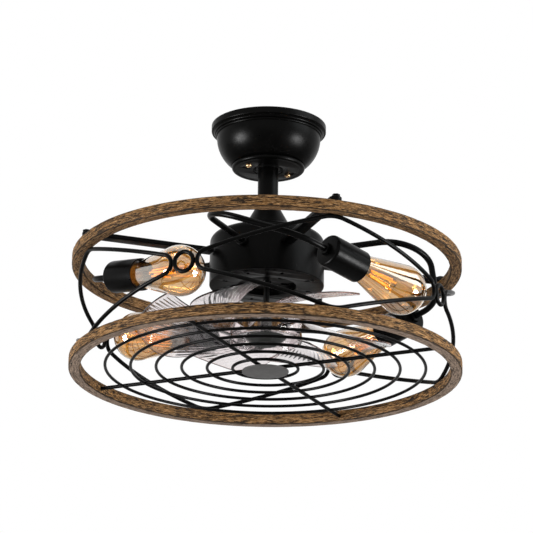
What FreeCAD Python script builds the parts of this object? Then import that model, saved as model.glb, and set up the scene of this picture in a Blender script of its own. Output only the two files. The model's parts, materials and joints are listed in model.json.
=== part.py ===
import FreeCAD, Part
import math
import os
from types import SimpleNamespace

import Sketcher

# Caged ceiling fan with four lamps, in millimetres.
# The origin is on the fan's axis in the ceiling plane and +Z is up.
# A drop is a distance below the ceiling.

# Lengths in millimetres, angles in degrees. Each is one cell of the spreadsheet.
SIZES = {
    # Clearances and overruns
    "fit_gap": 0.05,
    "seat_gap": 0.1,
    "assembly_gap": 0.3,
    "overrun": 1.0,
    # Canopy
    "canopy_radius": 75.0,
    "canopy_height": 60.6,
    "canopy_wall": 1.2,
    "canopy_band_height": 10.7,
    "canopy_band_edge": 1.6,
    "canopy_band_step": 6.0,
    "canopy_bead_step": 1.6,
    "canopy_bead_height": 2.9,
    "canopy_curve_radius": 58.9,
    "canopy_foot_radius": 50.3,
    "canopy_lip": 2.4,
    "canopy_hole_radius": 20.0,
    "canopy_screw_spacing": 62.0,
    "canopy_screw_radius": 2.0,
    "canopy_screw_head_radius": 3.8,
    "canopy_screw_head_height": 2.2,
    "keyhole_radius": 5.0,
    "keyhole_slot_width": 5.4,
    # Hanging bracket
    "bracket_length": 88.0,
    "bracket_width": 30.0,
    "bracket_plate": 2.5,
    "bracket_bend": 4.0,
    "seat_disc_radius": 30.0,
    "slot_spacing": 69.85,
    "slot_length": 10.0,
    "slot_width": 5.0,
    "rod_slot_width": 28.0,
    # Hanger ball, downrod and their pins
    "ball_radius": 24.0,
    "ball_drop": 45.6,
    "ball_top_height": 18.0,
    "ball_bottom_height": 15.0,
    "rod_radius": 13.35,
    "rod_wall": 2.0,
    "pin_radius": 2.5,
    "ball_pin_height": 8.0,
    # Coupling on top of the motor and its cover
    "collar_radius": 17.5,
    "collar_height": 32.0,
    "collar_floor": 6.0,
    "collar_bore": 6.0,
    "collar_flange_radius": 30.0,
    "collar_flange_height": 3.0,
    "collar_pin_height": 20.0,
    "cover_height": 43.0,
    "cover_foot_radius": 36.0,
    "cover_foot_height": 3.0,
    "cover_wall": 1.2,
    # Motor
    "motor_drop": 153.0,
    "housing_radius": 74.0,
    "housing_height": 67.0,
    "housing_wall": 2.0,
    "housing_shoulder": 10.0,
    "wire_hole_radius": 6.0,
    "bearing_radius": 11.0,
    "bearing_height": 7.0,
    "bearing_boss_wall": 3.5,
    "plate_thickness": 3.0,
    "plate_recess_radius": 38.0,
    "plate_recess_depth": 6.0,
    "plate_hole_inset": 17.0,
    "plate_hole_length": 7.0,
    "plate_hole_width": 4.0,
    "recess_hole_circle": 26.0,
    "recess_hole_length": 13.0,
    "recess_hole_width": 6.0,
    "plate_screw_inset": 9.0,
    "plate_screw_radius": 1.6,
    "plate_screw_length": 8.0,
    "plate_screw_head_radius": 3.2,
    "plate_screw_head_height": 1.8,
    "stator_width": 32.0,
    "stator_base": 20.0,
    "stator_top": 21.0,
    "coil_step": 3.0,
    "coil_margin": 5.7,
    "coil_height": 8.0,
    "air_gap": 0.6,
    "rotor_overhang": 1.0,
    "shaft_radius": 4.0,
    # Hoops
    "ring_radius": 251.5,
    "ring_width": 15.0,
    "ring_height": 15.5,
    "ring_edge": 2.5,
    "cage_height": 122.0,
    # Support bars and their bolts
    "bar_below_top": 32.0,
    "bar_width": 16.0,
    "bar_height": 6.0,
    "bar_edge": 1.5,
    "bar_setback": 2.0,
    "bolt_radius": 2.5,
    "bolt_depth": 11.0,
    "bolt_head_radius": 5.0,
    "bolt_head_height": 3.5,
    # Lamp arms
    "arm_radius": 4.0,
    "arm_wall": 1.0,
    "arm_below_top": 28.0,
    "arm_corner_inset": 29.5,
    "arm_corner_bend": 50.0,
    "arm_cup_bend": 60.0,
    "arm_cup_run": 45.0,
    "bush_radius": 7.5,
    "bush_length": 6.0,
    "arm_nut_radius": 8.0,
    "arm_nut_length": 5.0,
    # Lamps: the axis of each bulb is a chord of the hoops, lamp_inset from their outside
    "lamp_inset": 59.0,
    "lamp_lead": 75.0,
    "lamp_rise": 87.4,
    "cup_radius": 20.5,
    "cup_length": 56.0,
    "cup_wall": 1.5,
    "cup_edge": 4.0,
    "socket_base": 6.0,
    "socket_floor": 12.0,
    "base_radius": 13.0,
    "base_length": 25.0,
    "base_tip_radius": 5.0,
    "base_tip_length": 2.0,
    "bulb_radius": 32.0,
    "bulb_length": 119.0,
    "bulb_wall": 1.0,
    "stem_radius": 8.0,
    "stem_length": 30.0,
    "mast_radius": 1.5,
    "filament_radius": 0.9,
    "filament_length": 44.0,
    "filament_foot_reach": 3.5,
    "filament_head_reach": 7.5,
    "spider_radius": 1.0,
    # Wire cage between the hoops
    "cage_inset": 11.5,
    "cage_wire_radius": 2.5,
    "loop_side_bend": 13.0,
    "loop_end_bend": 45.0,
    "link_radius": 12.5,
    # Grille under the blades
    "grille_rise": 7.0,
    "grille_wire_radius": 2.0,
    "spoke_radius": 2.5,
    "grille_first_radius": 41.9,
    "grille_rim_gap": 31.6,
    "grille_boss_radius": 9.0,
    "grille_disc_radius": 30.0,
    "grille_disc_thickness": 2.0,
    # Impeller
    "hub_radius": 22.0,
    "hub_height": 30.0,
    "hub_rise": 45.0,
    "hub_edge": 2.0,
    "cap_height": 10.0,
    "cap_face_radius": 14.0,
    "cap_wall": 2.0,
    "hub_nut_radius": 7.5,
    "hub_nut_height": 5.0,
    "shaft_stub": 6.5,
    "blade_rim_gap": 82.5,
    "blade_corner": 26.0,
    "blade_tip_curve": 50.0,
    "blade_thickness": 2.0,
    "blade_rise": 60.0,
    "blade_pitch_height": 20.0,
    "blade_camber": 3.0,
    # Angles in degrees
    "lamp_turn": 67.2,
    "lamp_dip": 9.7,
    "canopy_screw_angle": 15.0,
    "keyhole_turn": 15.0,
    "arm_angle": 45.0,
    "blade_angle": 10.5,
    "blade_tip_angle": -6.0,
}

# Counts
QUARTERS = 4
PLATE_HOLES = 8
RECESS_HOLES = 6
PLATE_SCREWS = 4
GRILLE_CIRCLES = 6
BLADES = 8
FILAMENTS = 4

# Point of the bulb where its straight flank meets the round end, as shares of the end's radius
BULB_SIDE_SHARE = 0.98
BULB_BACK_SHARE = 0.199
# Edge of the small flat at the bulb's tip, as shares of the same radius
BULB_TIP_SHARE = 0.08
BULB_TIP_RISE_SHARE = 0.9968

# Blade sections from hub to tip: share of the tip radius, middle angle and half span in degrees,
# and the section's share of the pitch height
BLADE_SECTION_SHARES = (
    (0.11, -52.0, 20.0, 1.10),
    (0.30, -38.0, 17.0, 1.05),
    (0.50, -24.0, 16.0, 1.05),
    (0.75, -11.0, 17.0, 1.02),
    (1.06, 1.5, 17.0, 1.0),
)

LEFT = 1
RIGHT = -1
UP = FreeCAD.Vector(0, 0, 1)


class Size:
    """A number together with the spreadsheet expression that gives it."""

    def __init__(self, text, value):
        self.text = text
        self.value = value

    def joined(self, sign, other, value):
        other_text = other.text if isinstance(other, Size) else repr(other)
        return Size(f"({self.text} {sign} {other_text})", value)

    def __add__(self, other):
        return self.joined("+", other, self.value + float(other))

    def __sub__(self, other):
        return self.joined("-", other, self.value - float(other))

    def __mul__(self, other):
        return self.joined("*", other, self.value * float(other))

    def __truediv__(self, other):
        return self.joined("/", other, self.value / float(other))

    def __neg__(self):
        return Size(f"(-1 * {self.text})", -self.value)

    def __float__(self):
        return float(self.value)


doc = FreeCAD.newDocument("caged_ceiling_fan")
sheet = doc.addObject("Spreadsheet::Sheet", "sizes")
for row, (name, value) in enumerate(SIZES.items(), start=1):
    sheet.set(f"A{row}", name)
    sheet.set(f"B{row}", str(value))
    sheet.setAlias(f"B{row}", name)
doc.recompute()
size = SimpleNamespace(**{name: Size(f"sizes.{name}", sheet.get(name)) for name in SIZES})

# Heights shared by several pieces, as drops below the ceiling
canopy_bowl_radius = size.canopy_radius - size.canopy_band_step
canopy_bowl_height = size.canopy_height - size.canopy_band_height - size.canopy_bead_height * 2
bracket_drop = size.canopy_height - size.canopy_wall
plate_drop = size.motor_drop + size.housing_height
upper_ring_drop = size.motor_drop + size.bar_below_top + size.ring_height
lower_ring_top_drop = upper_ring_drop + size.cage_height
bottom_drop = lower_ring_top_drop + size.ring_height
rod_top_drop = size.ball_drop - size.ball_top_height
rod_end_drop = size.motor_drop - size.collar_floor
cage_middle_drop = upper_ring_drop + size.cage_height / 2
ring_inner_radius = size.ring_radius - size.ring_width
bolt_circle = size.ring_radius - size.ring_width / 2
hub_drop = bottom_drop - size.hub_rise
hub_bore = size.shaft_radius + size.fit_gap
bearing_seat_radius = size.bearing_radius + size.fit_gap
boss_radius = bearing_seat_radius + size.bearing_boss_wall
recess_floor = size.plate_recess_depth + size.plate_thickness
stator_radius = size.housing_radius - size.stator_width
stator_height = size.housing_height - size.stator_base - size.stator_top
plate_hole_circle = size.housing_radius - size.plate_hole_inset
plate_screw_circle = size.housing_radius - size.plate_screw_inset
cage_radius = size.ring_radius - size.cage_inset
lamp_offset = size.ring_radius - size.lamp_inset
arm_corner_reach = size.ring_radius - size.arm_corner_inset
grille_last_radius = ring_inner_radius - size.grille_rim_gap
grille_spacing = (grille_last_radius - size.grille_first_radius) / (GRILLE_CIRCLES - 1)
blade_tip_radius = size.ring_radius - size.blade_rim_gap

nodes = []


def node(piece):
    """Take a finished object as one of the fan's sub-parts."""
    nodes.append(piece)
    return piece


def bind(piece, prop, term):
    piece.setExpression(prop, term.text)


def hang(piece, drop, angle=0.0):
    """Turn a piece about the fan's axis and lower its base to a drop."""
    piece.Placement = FreeCAD.Placement(FreeCAD.Vector(), FreeCAD.Rotation(UP, angle))
    bind(piece, "Placement.Base.z", -drop)
    return piece


def quarter_turns():
    return [FreeCAD.Placement(FreeCAD.Vector(), FreeCAD.Rotation(UP, turn * 360 / QUARTERS))
            for turn in range(QUARTERS)]


# Sketches


def new_body(label):
    return doc.addObject("PartDesign::Body", label)


def origin_feature(body, role):
    return next(item for item in body.Origin.OriginFeatures if item.Role == role)


def new_sketch(body, plane, lift=None):
    """Sketch on an origin plane of its body, or a lift above it."""
    sketch = body.newObject("Sketcher::SketchObject", f"{body.Label}_sketch")
    sketch.AttachmentSupport = [(origin_feature(body, plane), "")]
    sketch.MapMode = "FlatFace"
    if lift is not None:
        bind(sketch, "AttachmentOffset.Base.z", lift)
    return sketch


def constrain(sketch, constraint, term=None):
    index = sketch.addConstraint(constraint)
    if term is not None:
        sketch.setExpression(f"Constraints[{index}]", term.text)


def pin_point(sketch, edge, end, across, up):
    """Fix a point of the sketch by its distances from the two sketch axes."""
    for kind, axis, place in (("DistanceX", -2, across), ("DistanceY", -1, up)):
        if not isinstance(place, Size):
            constrain(sketch, Sketcher.Constraint("PointOnObject", edge, end, axis))
        elif place.value < 0:
            constrain(sketch, Sketcher.Constraint(kind, edge, end, -1, 1, -place.value), -place)
        else:
            constrain(sketch, Sketcher.Constraint(kind, -1, 1, edge, end, place.value), place)


def round_edge(start, end, radius, turn):
    """Arc from start to end with its centre on the given side."""
    chord = end - start
    side = FreeCAD.Vector(-chord.y, chord.x, 0).normalize()
    rise = math.sqrt(max(radius ** 2 - (chord.Length / 2) ** 2, 0.0))
    centre = (start + end) / 2 + side * (rise * turn)
    first, last = (start, end) if turn == LEFT else (end, start)
    angles = [math.atan2(point.y - centre.y, point.x - centre.x) for point in (first, last)]
    return Part.ArcOfCircle(Part.Circle(centre, UP, radius), *angles)


def add_outline(sketch, outline):
    """Closed outline of points (across, up); a point with a radius and a side is reached by an arc."""
    corners = [FreeCAD.Vector(float(point[0]), float(point[1]), 0) for point in outline]
    starts = []
    ends = []
    for index, point in enumerate(outline):
        before, here = corners[index - 1], corners[index]
        if len(point) == 2:
            edge = sketch.addGeometry(Part.LineSegment(before, here))
            starts.append((edge, 1))
            ends.append((edge, 2))
        else:
            radius, turn = point[2], point[3]
            edge = sketch.addGeometry(round_edge(before, here, float(radius), turn))
            starts.append((edge, 1 if turn == LEFT else 2))
            ends.append((edge, 2 if turn == LEFT else 1))
            constrain(sketch, Sketcher.Constraint("Radius", edge, float(radius)), radius)
    for index, point in enumerate(outline):
        following = starts[(index + 1) % len(outline)]
        constrain(sketch, Sketcher.Constraint("Coincident", *ends[index], *following))
        pin_point(sketch, *ends[index], point[0], point[1])


def add_circle(sketch, across, up, radius):
    centre = FreeCAD.Vector(float(across), float(up), 0)
    edge = sketch.addGeometry(Part.Circle(centre, UP, float(radius)))
    constrain(sketch, Sketcher.Constraint("Radius", edge, float(radius)), radius)
    pin_point(sketch, edge, 3, across, up)


def slot_outline(across, length, width):
    """Slot with round ends along the sketch's first axis."""
    side = width / 2
    near, far = across - length / 2, across + length / 2
    return [(far - side, -side), (far, 0, side, LEFT), (far - side, side, side, LEFT),
            (near + side, side), (near, 0, side, LEFT), (near + side, -side, side, LEFT)]


# Features


def revolve(body, outline):
    """Turn an outline of (radius, height) points about the body's own vertical axis."""
    sketch = new_sketch(body, "XZ_Plane")
    add_outline(sketch, outline)
    turned = body.newObject("PartDesign::Revolution", f"{body.Label}_turned")
    turned.Profile = sketch
    turned.ReferenceAxis = (sketch, ["V_Axis"])
    turned.Angle = 360
    doc.recompute()
    return body


def revolved(label, outline):
    return revolve(new_body(label), outline)


def pad(body, sketch, length, both_ways=False):
    solid = body.newObject("PartDesign::Pad", f"{body.Label}_pad")
    solid.Profile = sketch
    bind(solid, "Length", length)
    if both_ways:
        solid.SideType = "Symmetric"
    doc.recompute()
    return solid


def pocket(body, sketch, length, both_ways=False):
    """Cut a sketch out of the body, upwards from the sketch or both ways, and see that it cut."""
    before = body.Shape.Volume
    cut = body.newObject("PartDesign::Pocket", f"{body.Label}_pocket")
    cut.Profile = sketch
    bind(cut, "Length", length)
    if both_ways:
        cut.SideType = "Symmetric"
    else:
        cut.Reversed = True
    doc.recompute()
    if not body.Shape.Volume < before:
        raise RuntimeError(f"{cut.Label} cuts nothing")
    return cut


def repeat_round(body, feature, count):
    pattern = body.newObject("PartDesign::PolarPattern", f"{body.Label}_pattern")
    pattern.Originals = [feature]
    pattern.Axis = (origin_feature(body, "Z_Axis"), [""])
    pattern.Angle = 360
    pattern.Occurrences = count
    body.Tip = pattern
    doc.recompute()
    return pattern


def is_round_edge(edge):
    return isinstance(edge.Curve, Part.Circle)


def is_level_edge(edge):
    """True for edges of a bar's flat faces, apart from its square inner end."""
    inner_end = edge.BoundBox.XMax < float(size.housing_radius)
    return edge.BoundBox.ZLength < float(size.bar_edge) and not inner_end


def round_edges(body, radius, wanted):
    """Fillet the edges of the body's last feature that a test picks out."""
    base = body.Tip
    picked = [f"Edge{number}" for number, edge in enumerate(base.Shape.Edges, start=1) if wanted(edge)]
    rounding = body.newObject("PartDesign::Fillet", f"{body.Label}_edges")
    rounding.Base = (base, picked)
    bind(rounding, "Radius", radius)
    doc.recompute()


def cylinder_cut(body, radius, height, base, direction=UP):
    """Cut a round hole through a body along any direction."""
    cut = body.newObject("PartDesign::SubtractiveCylinder", f"{body.Label}_bore")
    bind(cut, "Radius", radius)
    bind(cut, "Height", height)
    cut.Placement = FreeCAD.Placement(base, FreeCAD.Rotation(UP, direction))
    doc.recompute()
    return cut


def group(label, shape, places):
    """One node of separate solids: the same shape at several places."""
    piece = doc.addObject("Part::Feature", label)
    copies = []
    for place in places:
        copy = shape.copy()
        copy.Placement = place.multiply(shape.Placement)
        copies.append(copy)
    piece.Shape = Part.makeCompound(copies)
    return node(piece)


def screw(head_radius, head_height, shank_radius, shank_length):
    """Screw with its seat at zero, head below it and shank above it."""
    head = Part.makeCylinder(head_radius, head_height, FreeCAD.Vector(0, 0, -float(head_height)))
    return head.fuse(Part.makeCylinder(shank_radius, shank_length)).removeSplitter()


def hexagon_prism(radius, height, bore=None):
    corners = [FreeCAD.Vector(float(radius), 0, 0)]
    for turn in range(6):
        corners.append(FreeCAD.Rotation(UP, (turn + 1) * 60).multVec(corners[0]))
    corners[-1] = corners[0]
    prism = Part.Face(Part.makePolygon(corners)).extrude(FreeCAD.Vector(0, 0, float(height)))
    return prism if bore is None else prism.cut(Part.makeCylinder(bore, height))


# Ceiling mount


def canopy_outline():
    """Section of the canopy: flat face, lip, bowl, two beads and rim band, then back down inside."""
    wall = size.canopy_wall
    step = size.canopy_bead_step
    lip = size.canopy_lip
    foot = size.canopy_foot_radius
    curve = size.canopy_curve_radius
    edge = size.canopy_band_edge
    bowl = canopy_bowl_radius
    first = canopy_bowl_height
    second = first + size.canopy_bead_height
    band = second + size.canopy_bead_height
    return [
        (size.canopy_hole_radius, 0),
        (foot - lip, 0),
        (foot, lip, lip, LEFT),
        (bowl, first, curve, LEFT),
        (bowl + step, first + step, step, LEFT),
        (bowl + step, second),
        (bowl + step * 2, second + step, step, LEFT),
        (bowl + step * 2, band),
        (size.canopy_radius - edge, band),
        (size.canopy_radius, band + edge, edge, LEFT),
        (size.canopy_radius, size.canopy_height),
        (size.canopy_radius - wall, size.canopy_height),
        (size.canopy_radius - wall, band + edge + wall),
        (bowl + step * 2 - wall, band + edge + wall),
        (bowl + step * 2 - wall, second + step + wall),
        (bowl + step - wall, second + step + wall),
        (bowl + step - wall, first + step + wall),
        (bowl - wall, first + step + wall),
        (bowl - wall, first),
        (foot - wall, lip + wall, curve - wall, RIGHT),
        (foot - lip, wall),
        (size.canopy_hole_radius, wall),
    ]


def screw_spot(turn):
    """Place on the circle of the canopy screws, turned back from a screw by some degrees."""
    angle = math.radians(float(size.canopy_screw_angle) - turn)
    reach = size.canopy_screw_spacing / 2
    return reach * math.cos(angle), reach * math.sin(angle)


def cut_keyholes(body):
    """Cut a round hole that runs into a slot under each canopy screw."""
    through = size.canopy_wall + size.overrun * 2
    side = size.keyhole_slot_width / 2
    turn = float(size.keyhole_turn)
    narrow, wide = screw_spot(0), screw_spot(turn)
    lean = math.radians(float(size.canopy_screw_angle) - turn / 2)
    shift = (side * math.cos(lean), side * math.sin(lean))
    for half in (1, -1):
        screw_hole = new_sketch(body, "XY_Plane", -size.overrun)
        add_circle(screw_hole, narrow[0] * half, narrow[1] * half, side)
        pocket(body, screw_hole, through)
        wide_hole = new_sketch(body, "XY_Plane", -size.overrun)
        add_circle(wide_hole, wide[0] * half, wide[1] * half, size.keyhole_radius)
        pocket(body, wide_hole, through)
        run = new_sketch(body, "XY_Plane", -size.overrun)
        add_outline(run, [
            ((narrow[0] + shift[0]) * half, (narrow[1] + shift[1]) * half),
            ((narrow[0] - shift[0]) * half, (narrow[1] - shift[1]) * half),
            ((wide[0] - shift[0]) * half, (wide[1] - shift[1]) * half),
            ((wide[0] + shift[0]) * half, (wide[1] + shift[1]) * half),
        ])
        pocket(body, run, through)


def build_canopy():
    body = revolved("canopy", canopy_outline())
    cut_keyholes(body)
    node(hang(body, size.canopy_height))


def build_bracket():
    body = new_body("hanging_bracket")
    plate = size.bracket_plate
    half = size.bracket_length / 2
    bend = size.bracket_bend
    inner_bend = bend - plate
    profile = new_sketch(body, "XZ_Plane")
    frame_outlines = ((half, 0, bracket_drop, bend), (half - plate, plate, bracket_drop - plate, inner_bend))
    for reach, low, high, corner in frame_outlines:
        low_corner = corner if low == 0 else low + corner
        add_outline(profile, [
            (reach - corner, low), (reach, low_corner, corner, LEFT),
            (reach, high - corner), (reach - corner, high, corner, LEFT),
            (corner - reach, high), (-reach, high - corner, corner, LEFT),
            (-reach, low_corner), (corner - reach, low, corner, LEFT),
        ])
    pad(body, profile, size.bracket_width, both_ways=True)
    disc = new_sketch(body, "XY_Plane")
    add_circle(disc, 0, 0, size.seat_disc_radius)
    pad(body, disc, plate)
    seat = body.newObject("PartDesign::SubtractiveSphere", "bracket_ball_seat")
    bind(seat, "Radius", size.ball_radius + size.seat_gap)
    bind(seat, "Placement.Base.z", bracket_drop - size.ball_drop)
    doc.recompute()
    entry = new_sketch(body, "XY_Plane", -size.overrun)
    side = size.rod_slot_width / 2
    front = -(size.seat_disc_radius + size.overrun)
    add_outline(entry, [(side, 0), (-side, 0), (-side, front), (side, front)])
    pocket(body, entry, plate + size.overrun * 2)
    holes = new_sketch(body, "XY_Plane", -size.overrun)
    across, up = screw_spot(0)
    add_circle(holes, across, up, size.canopy_screw_radius + size.fit_gap)
    add_circle(holes, -across, -up, size.canopy_screw_radius + size.fit_gap)
    pocket(body, holes, plate + size.overrun * 2)
    slots = new_sketch(body, "XY_Plane", bracket_drop - plate - size.overrun)
    for reach in (size.slot_spacing / 2, -(size.slot_spacing / 2)):
        add_outline(slots, slot_outline(reach, size.slot_length, size.slot_width))
    pocket(body, slots, plate + size.overrun * 2)
    node(hang(body, bracket_drop))


def build_canopy_screws():
    shape = screw(size.canopy_screw_head_radius, size.canopy_screw_head_height,
                  size.canopy_screw_radius, size.canopy_wall + size.bracket_plate * 2)
    across, up = (float(place) for place in screw_spot(0))
    low = -float(size.canopy_height)
    spots = [FreeCAD.Vector(side * across, side * up, low) for side in (1, -1)]
    group("canopy_screws", shape, [FreeCAD.Placement(spot, FreeCAD.Rotation()) for spot in spots])


# Hanger ball, downrod and coupling


def build_ball():
    top = size.ball_top_height
    bottom = size.ball_bottom_height
    bore = size.rod_radius + size.fit_gap
    top_reach = Size(f"sqrt(pow({size.ball_radius.text}; 2) - pow({top.text}; 2))",
                     math.sqrt(float(size.ball_radius) ** 2 - float(top) ** 2))
    bottom_reach = Size(f"sqrt(pow({size.ball_radius.text}; 2) - pow({bottom.text}; 2))",
                        math.sqrt(float(size.ball_radius) ** 2 - float(bottom) ** 2))
    body = revolved("hanger_ball", [
        (bore, 0),
        (bottom_reach, 0),
        (top_reach, bottom + top, size.ball_radius, LEFT),
        (bore, bottom + top),
    ])
    drop = size.ball_drop + bottom
    across = FreeCAD.Vector(0, -float(size.ball_radius), float(bottom + size.ball_pin_height))
    cylinder_cut(body, size.pin_radius + size.fit_gap, size.ball_radius * 2, across, FreeCAD.Vector(0, 1, 0))
    node(hang(body, drop))


def build_downrod():
    length = rod_end_drop - rod_top_drop
    inner = size.rod_radius - size.rod_wall
    body = revolved("downrod", [(inner, 0), (size.rod_radius, 0), (size.rod_radius, length), (inner, length)])
    hole = size.pin_radius + size.fit_gap
    ball_pin_up = rod_end_drop - size.ball_drop + size.ball_pin_height
    collar_pin_up = size.collar_pin_height - size.collar_floor
    for up in (ball_pin_up, collar_pin_up):
        across = FreeCAD.Vector(0, -float(size.rod_radius), float(up))
        cylinder_cut(body, hole, size.rod_radius * 2, across, FreeCAD.Vector(0, 1, 0))
    node(hang(body, rod_end_drop))


def cross_pin(label, half_length, drop):
    """Pin across the rod along Y."""
    pin = doc.addObject("Part::Cylinder", label)
    bind(pin, "Radius", size.pin_radius)
    bind(pin, "Height", half_length * 2)
    pin.Placement = FreeCAD.Placement(FreeCAD.Vector(), FreeCAD.Rotation(UP, FreeCAD.Vector(0, 1, 0)))
    bind(pin, "Placement.Base.y", -half_length)
    bind(pin, "Placement.Base.z", -drop)
    node(pin)


def build_collar():
    bore = size.rod_radius + size.fit_gap
    body = revolved("coupling_collar", [
        (size.collar_bore, 0),
        (size.collar_flange_radius, 0),
        (size.collar_flange_radius, size.collar_flange_height),
        (size.collar_radius, size.collar_flange_height),
        (size.collar_radius, size.collar_height),
        (bore, size.collar_height),
        (bore, size.collar_floor),
        (size.collar_bore, size.collar_floor),
    ])
    across = FreeCAD.Vector(0, -float(size.collar_radius), float(size.collar_pin_height))
    hole = size.pin_radius + size.fit_gap
    cylinder_cut(body, hole, size.collar_radius * 2, across, FreeCAD.Vector(0, 1, 0))
    node(hang(body, size.motor_drop))


def build_cover():
    wall = size.cover_wall
    neck = size.rod_radius + size.assembly_gap
    body = revolved("coupling_cover", [
        (size.cover_foot_radius - wall, 0),
        (size.cover_foot_radius, 0),
        (size.cover_foot_radius, size.cover_foot_height),
        (neck + wall, size.cover_height),
        (neck, size.cover_height),
        (size.cover_foot_radius - wall, size.cover_foot_height),
    ])
    node(hang(body, size.motor_drop))


# Motor


def build_housing():
    wall = size.housing_wall
    top = size.housing_height
    ceiling = top - wall
    shoulder = size.housing_shoulder
    inner = size.housing_radius - wall
    boss_foot = ceiling - size.bearing_height
    body = revolved("motor_housing", [
        (inner, 0),
        (size.housing_radius, 0),
        (size.housing_radius, top - shoulder),
        (size.housing_radius - shoulder, top, shoulder, LEFT),
        (size.wire_hole_radius, top),
        (size.wire_hole_radius, ceiling),
        (bearing_seat_radius, ceiling),
        (bearing_seat_radius, boss_foot),
        (boss_radius, boss_foot),
        (boss_radius, ceiling),
        (size.housing_radius - shoulder, ceiling),
        (inner, top - shoulder, shoulder - wall, RIGHT),
    ])
    node(hang(body, plate_drop))


def build_bottom_plate():
    thick = size.plate_thickness
    rim = size.housing_radius - size.housing_wall - size.fit_gap
    recess = size.plate_recess_radius
    floor = size.plate_recess_depth
    boss_top = recess_floor + size.bearing_height
    body = revolved("motor_bottom_plate", [
        (recess, 0),
        (rim, 0),
        (rim, thick),
        (recess + thick, thick),
        (recess + thick, recess_floor),
        (boss_radius, recess_floor),
        (boss_radius, boss_top),
        (bearing_seat_radius, boss_top),
        (bearing_seat_radius, recess_floor),
        (size.wire_hole_radius, recess_floor),
        (size.wire_hole_radius, floor),
        (recess, floor),
    ])
    through = recess_floor + size.overrun * 2
    rows = ((size.recess_hole_circle, size.recess_hole_length, size.recess_hole_width, RECESS_HOLES),
            (plate_hole_circle, size.plate_hole_length, size.plate_hole_width, PLATE_HOLES))
    for circle, length, width, count in rows:
        sketch = new_sketch(body, "XY_Plane", -size.overrun)
        add_outline(sketch, slot_outline(circle, length, width))
        repeat_round(body, pocket(body, sketch, through), count)
    sketch = new_sketch(body, "XY_Plane", -size.overrun)
    offset = plate_screw_circle * math.sqrt(0.5)
    add_circle(sketch, offset, offset, size.plate_screw_radius + size.fit_gap)
    repeat_round(body, pocket(body, sketch, through), PLATE_SCREWS)
    node(hang(body, plate_drop))


def build_plate_screws():
    shape = screw(size.plate_screw_head_radius, size.plate_screw_head_height,
                  size.plate_screw_radius, size.plate_screw_length)
    shape.Placement = FreeCAD.Placement(FreeCAD.Vector(float(plate_screw_circle), 0, -float(plate_drop)),
                                        FreeCAD.Rotation())
    eighth = FreeCAD.Placement(FreeCAD.Vector(), FreeCAD.Rotation(UP, 180 / PLATE_SCREWS))
    group("plate_screws", shape, [turn.multiply(eighth) for turn in quarter_turns()])


def ring_outline(inner, outer, low, high):
    return [(inner, low), (outer, low), (outer, high), (inner, high)]


def build_motor_inside():
    outer = size.housing_radius - size.housing_wall - size.assembly_gap
    core = revolved("stator_core", ring_outline(stator_radius, outer, 0, stator_height))
    node(hang(core, plate_drop - size.stator_base))
    coil_inner = stator_radius + size.coil_step
    coil = revolved("stator_coil", ring_outline(coil_inner, outer - size.coil_margin, 0, size.coil_height))
    core_low = float(size.stator_base - plate_drop)
    heights = (core_low - float(size.coil_height), core_low + float(stator_height))
    group("stator_coils", coil.Shape,
          [FreeCAD.Placement(FreeCAD.Vector(0, 0, height), FreeCAD.Rotation()) for height in heights])
    bearing_drops = {
        "upper_bearing": size.motor_drop + size.housing_wall + size.bearing_height,
        "lower_bearing": plate_drop - recess_floor,
    }
    for label, drop in bearing_drops.items():
        body = revolved(label, ring_outline(hub_bore, size.bearing_radius, 0, size.bearing_height))
        node(hang(body, drop))
    rotor_height = stator_height + size.rotor_overhang * 2
    body = revolved("rotor", ring_outline(hub_bore, stator_radius - size.air_gap, 0, rotor_height))
    node(hang(body, plate_drop - size.stator_base + size.rotor_overhang))


def build_shaft():
    shaft = doc.addObject("Part::Cylinder", "motor_shaft")
    end_drop = hub_drop + size.shaft_stub
    bind(shaft, "Radius", size.shaft_radius)
    bind(shaft, "Height", end_drop - size.motor_drop - size.housing_wall - size.assembly_gap)
    node(hang(shaft, end_drop))


# Hoops and support bars


def build_rings():
    for label, drop in (("upper_ring", upper_ring_drop), ("lower_ring", bottom_drop)):
        body = revolved(label, ring_outline(ring_inner_radius, size.ring_radius, 0, size.ring_height))
        round_edges(body, size.ring_edge, is_round_edge)
        if label == "upper_ring":
            sketch = new_sketch(body, "XY_Plane", size.ring_height - size.bolt_depth)
            add_circle(sketch, bolt_circle, 0, size.bolt_radius + size.fit_gap)
            repeat_round(body, pocket(body, sketch, size.bolt_depth + size.overrun), QUARTERS)
        node(hang(body, drop))


def build_bars():
    length = size.ring_radius - size.bar_setback
    inner = size.housing_radius - size.housing_wall
    half = size.bar_width / 2
    for index in range(QUARTERS):
        body = new_body(f"support_bar_{index + 1}")
        sketch = new_sketch(body, "XY_Plane")
        add_outline(sketch, [(inner, -half), (length - half, -half), (length, 0, half, LEFT),
                             (length - half, half, half, LEFT), (inner, half)])
        pad(body, sketch, size.bar_height)
        round_edges(body, size.bar_edge, is_level_edge)
        cylinder_cut(body, size.housing_radius + size.fit_gap, size.bar_height, FreeCAD.Vector())
        holes = new_sketch(body, "XY_Plane", -size.overrun)
        add_circle(holes, bolt_circle, 0, size.bolt_radius + size.fit_gap)
        pocket(body, holes, size.bar_height + size.overrun * 2)
        node(hang(body, upper_ring_drop - size.ring_height, index * 360 / QUARTERS))


def build_bar_bolts():
    head = hexagon_prism(size.bolt_head_radius, size.bolt_head_height)
    grip = float(size.bar_height + size.bolt_depth)
    shank = Part.makeCylinder(size.bolt_radius, grip, FreeCAD.Vector(0, 0, -grip))
    shape = head.fuse(shank).removeSplitter()
    bar_top = upper_ring_drop - size.ring_height - size.bar_height
    place = FreeCAD.Vector(float(bolt_circle), 0, -float(bar_top))
    shape.Placement = FreeCAD.Placement(place, FreeCAD.Rotation())
    group("bar_bolts", shape, quarter_turns())


# Lamp arms and lamps


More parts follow.
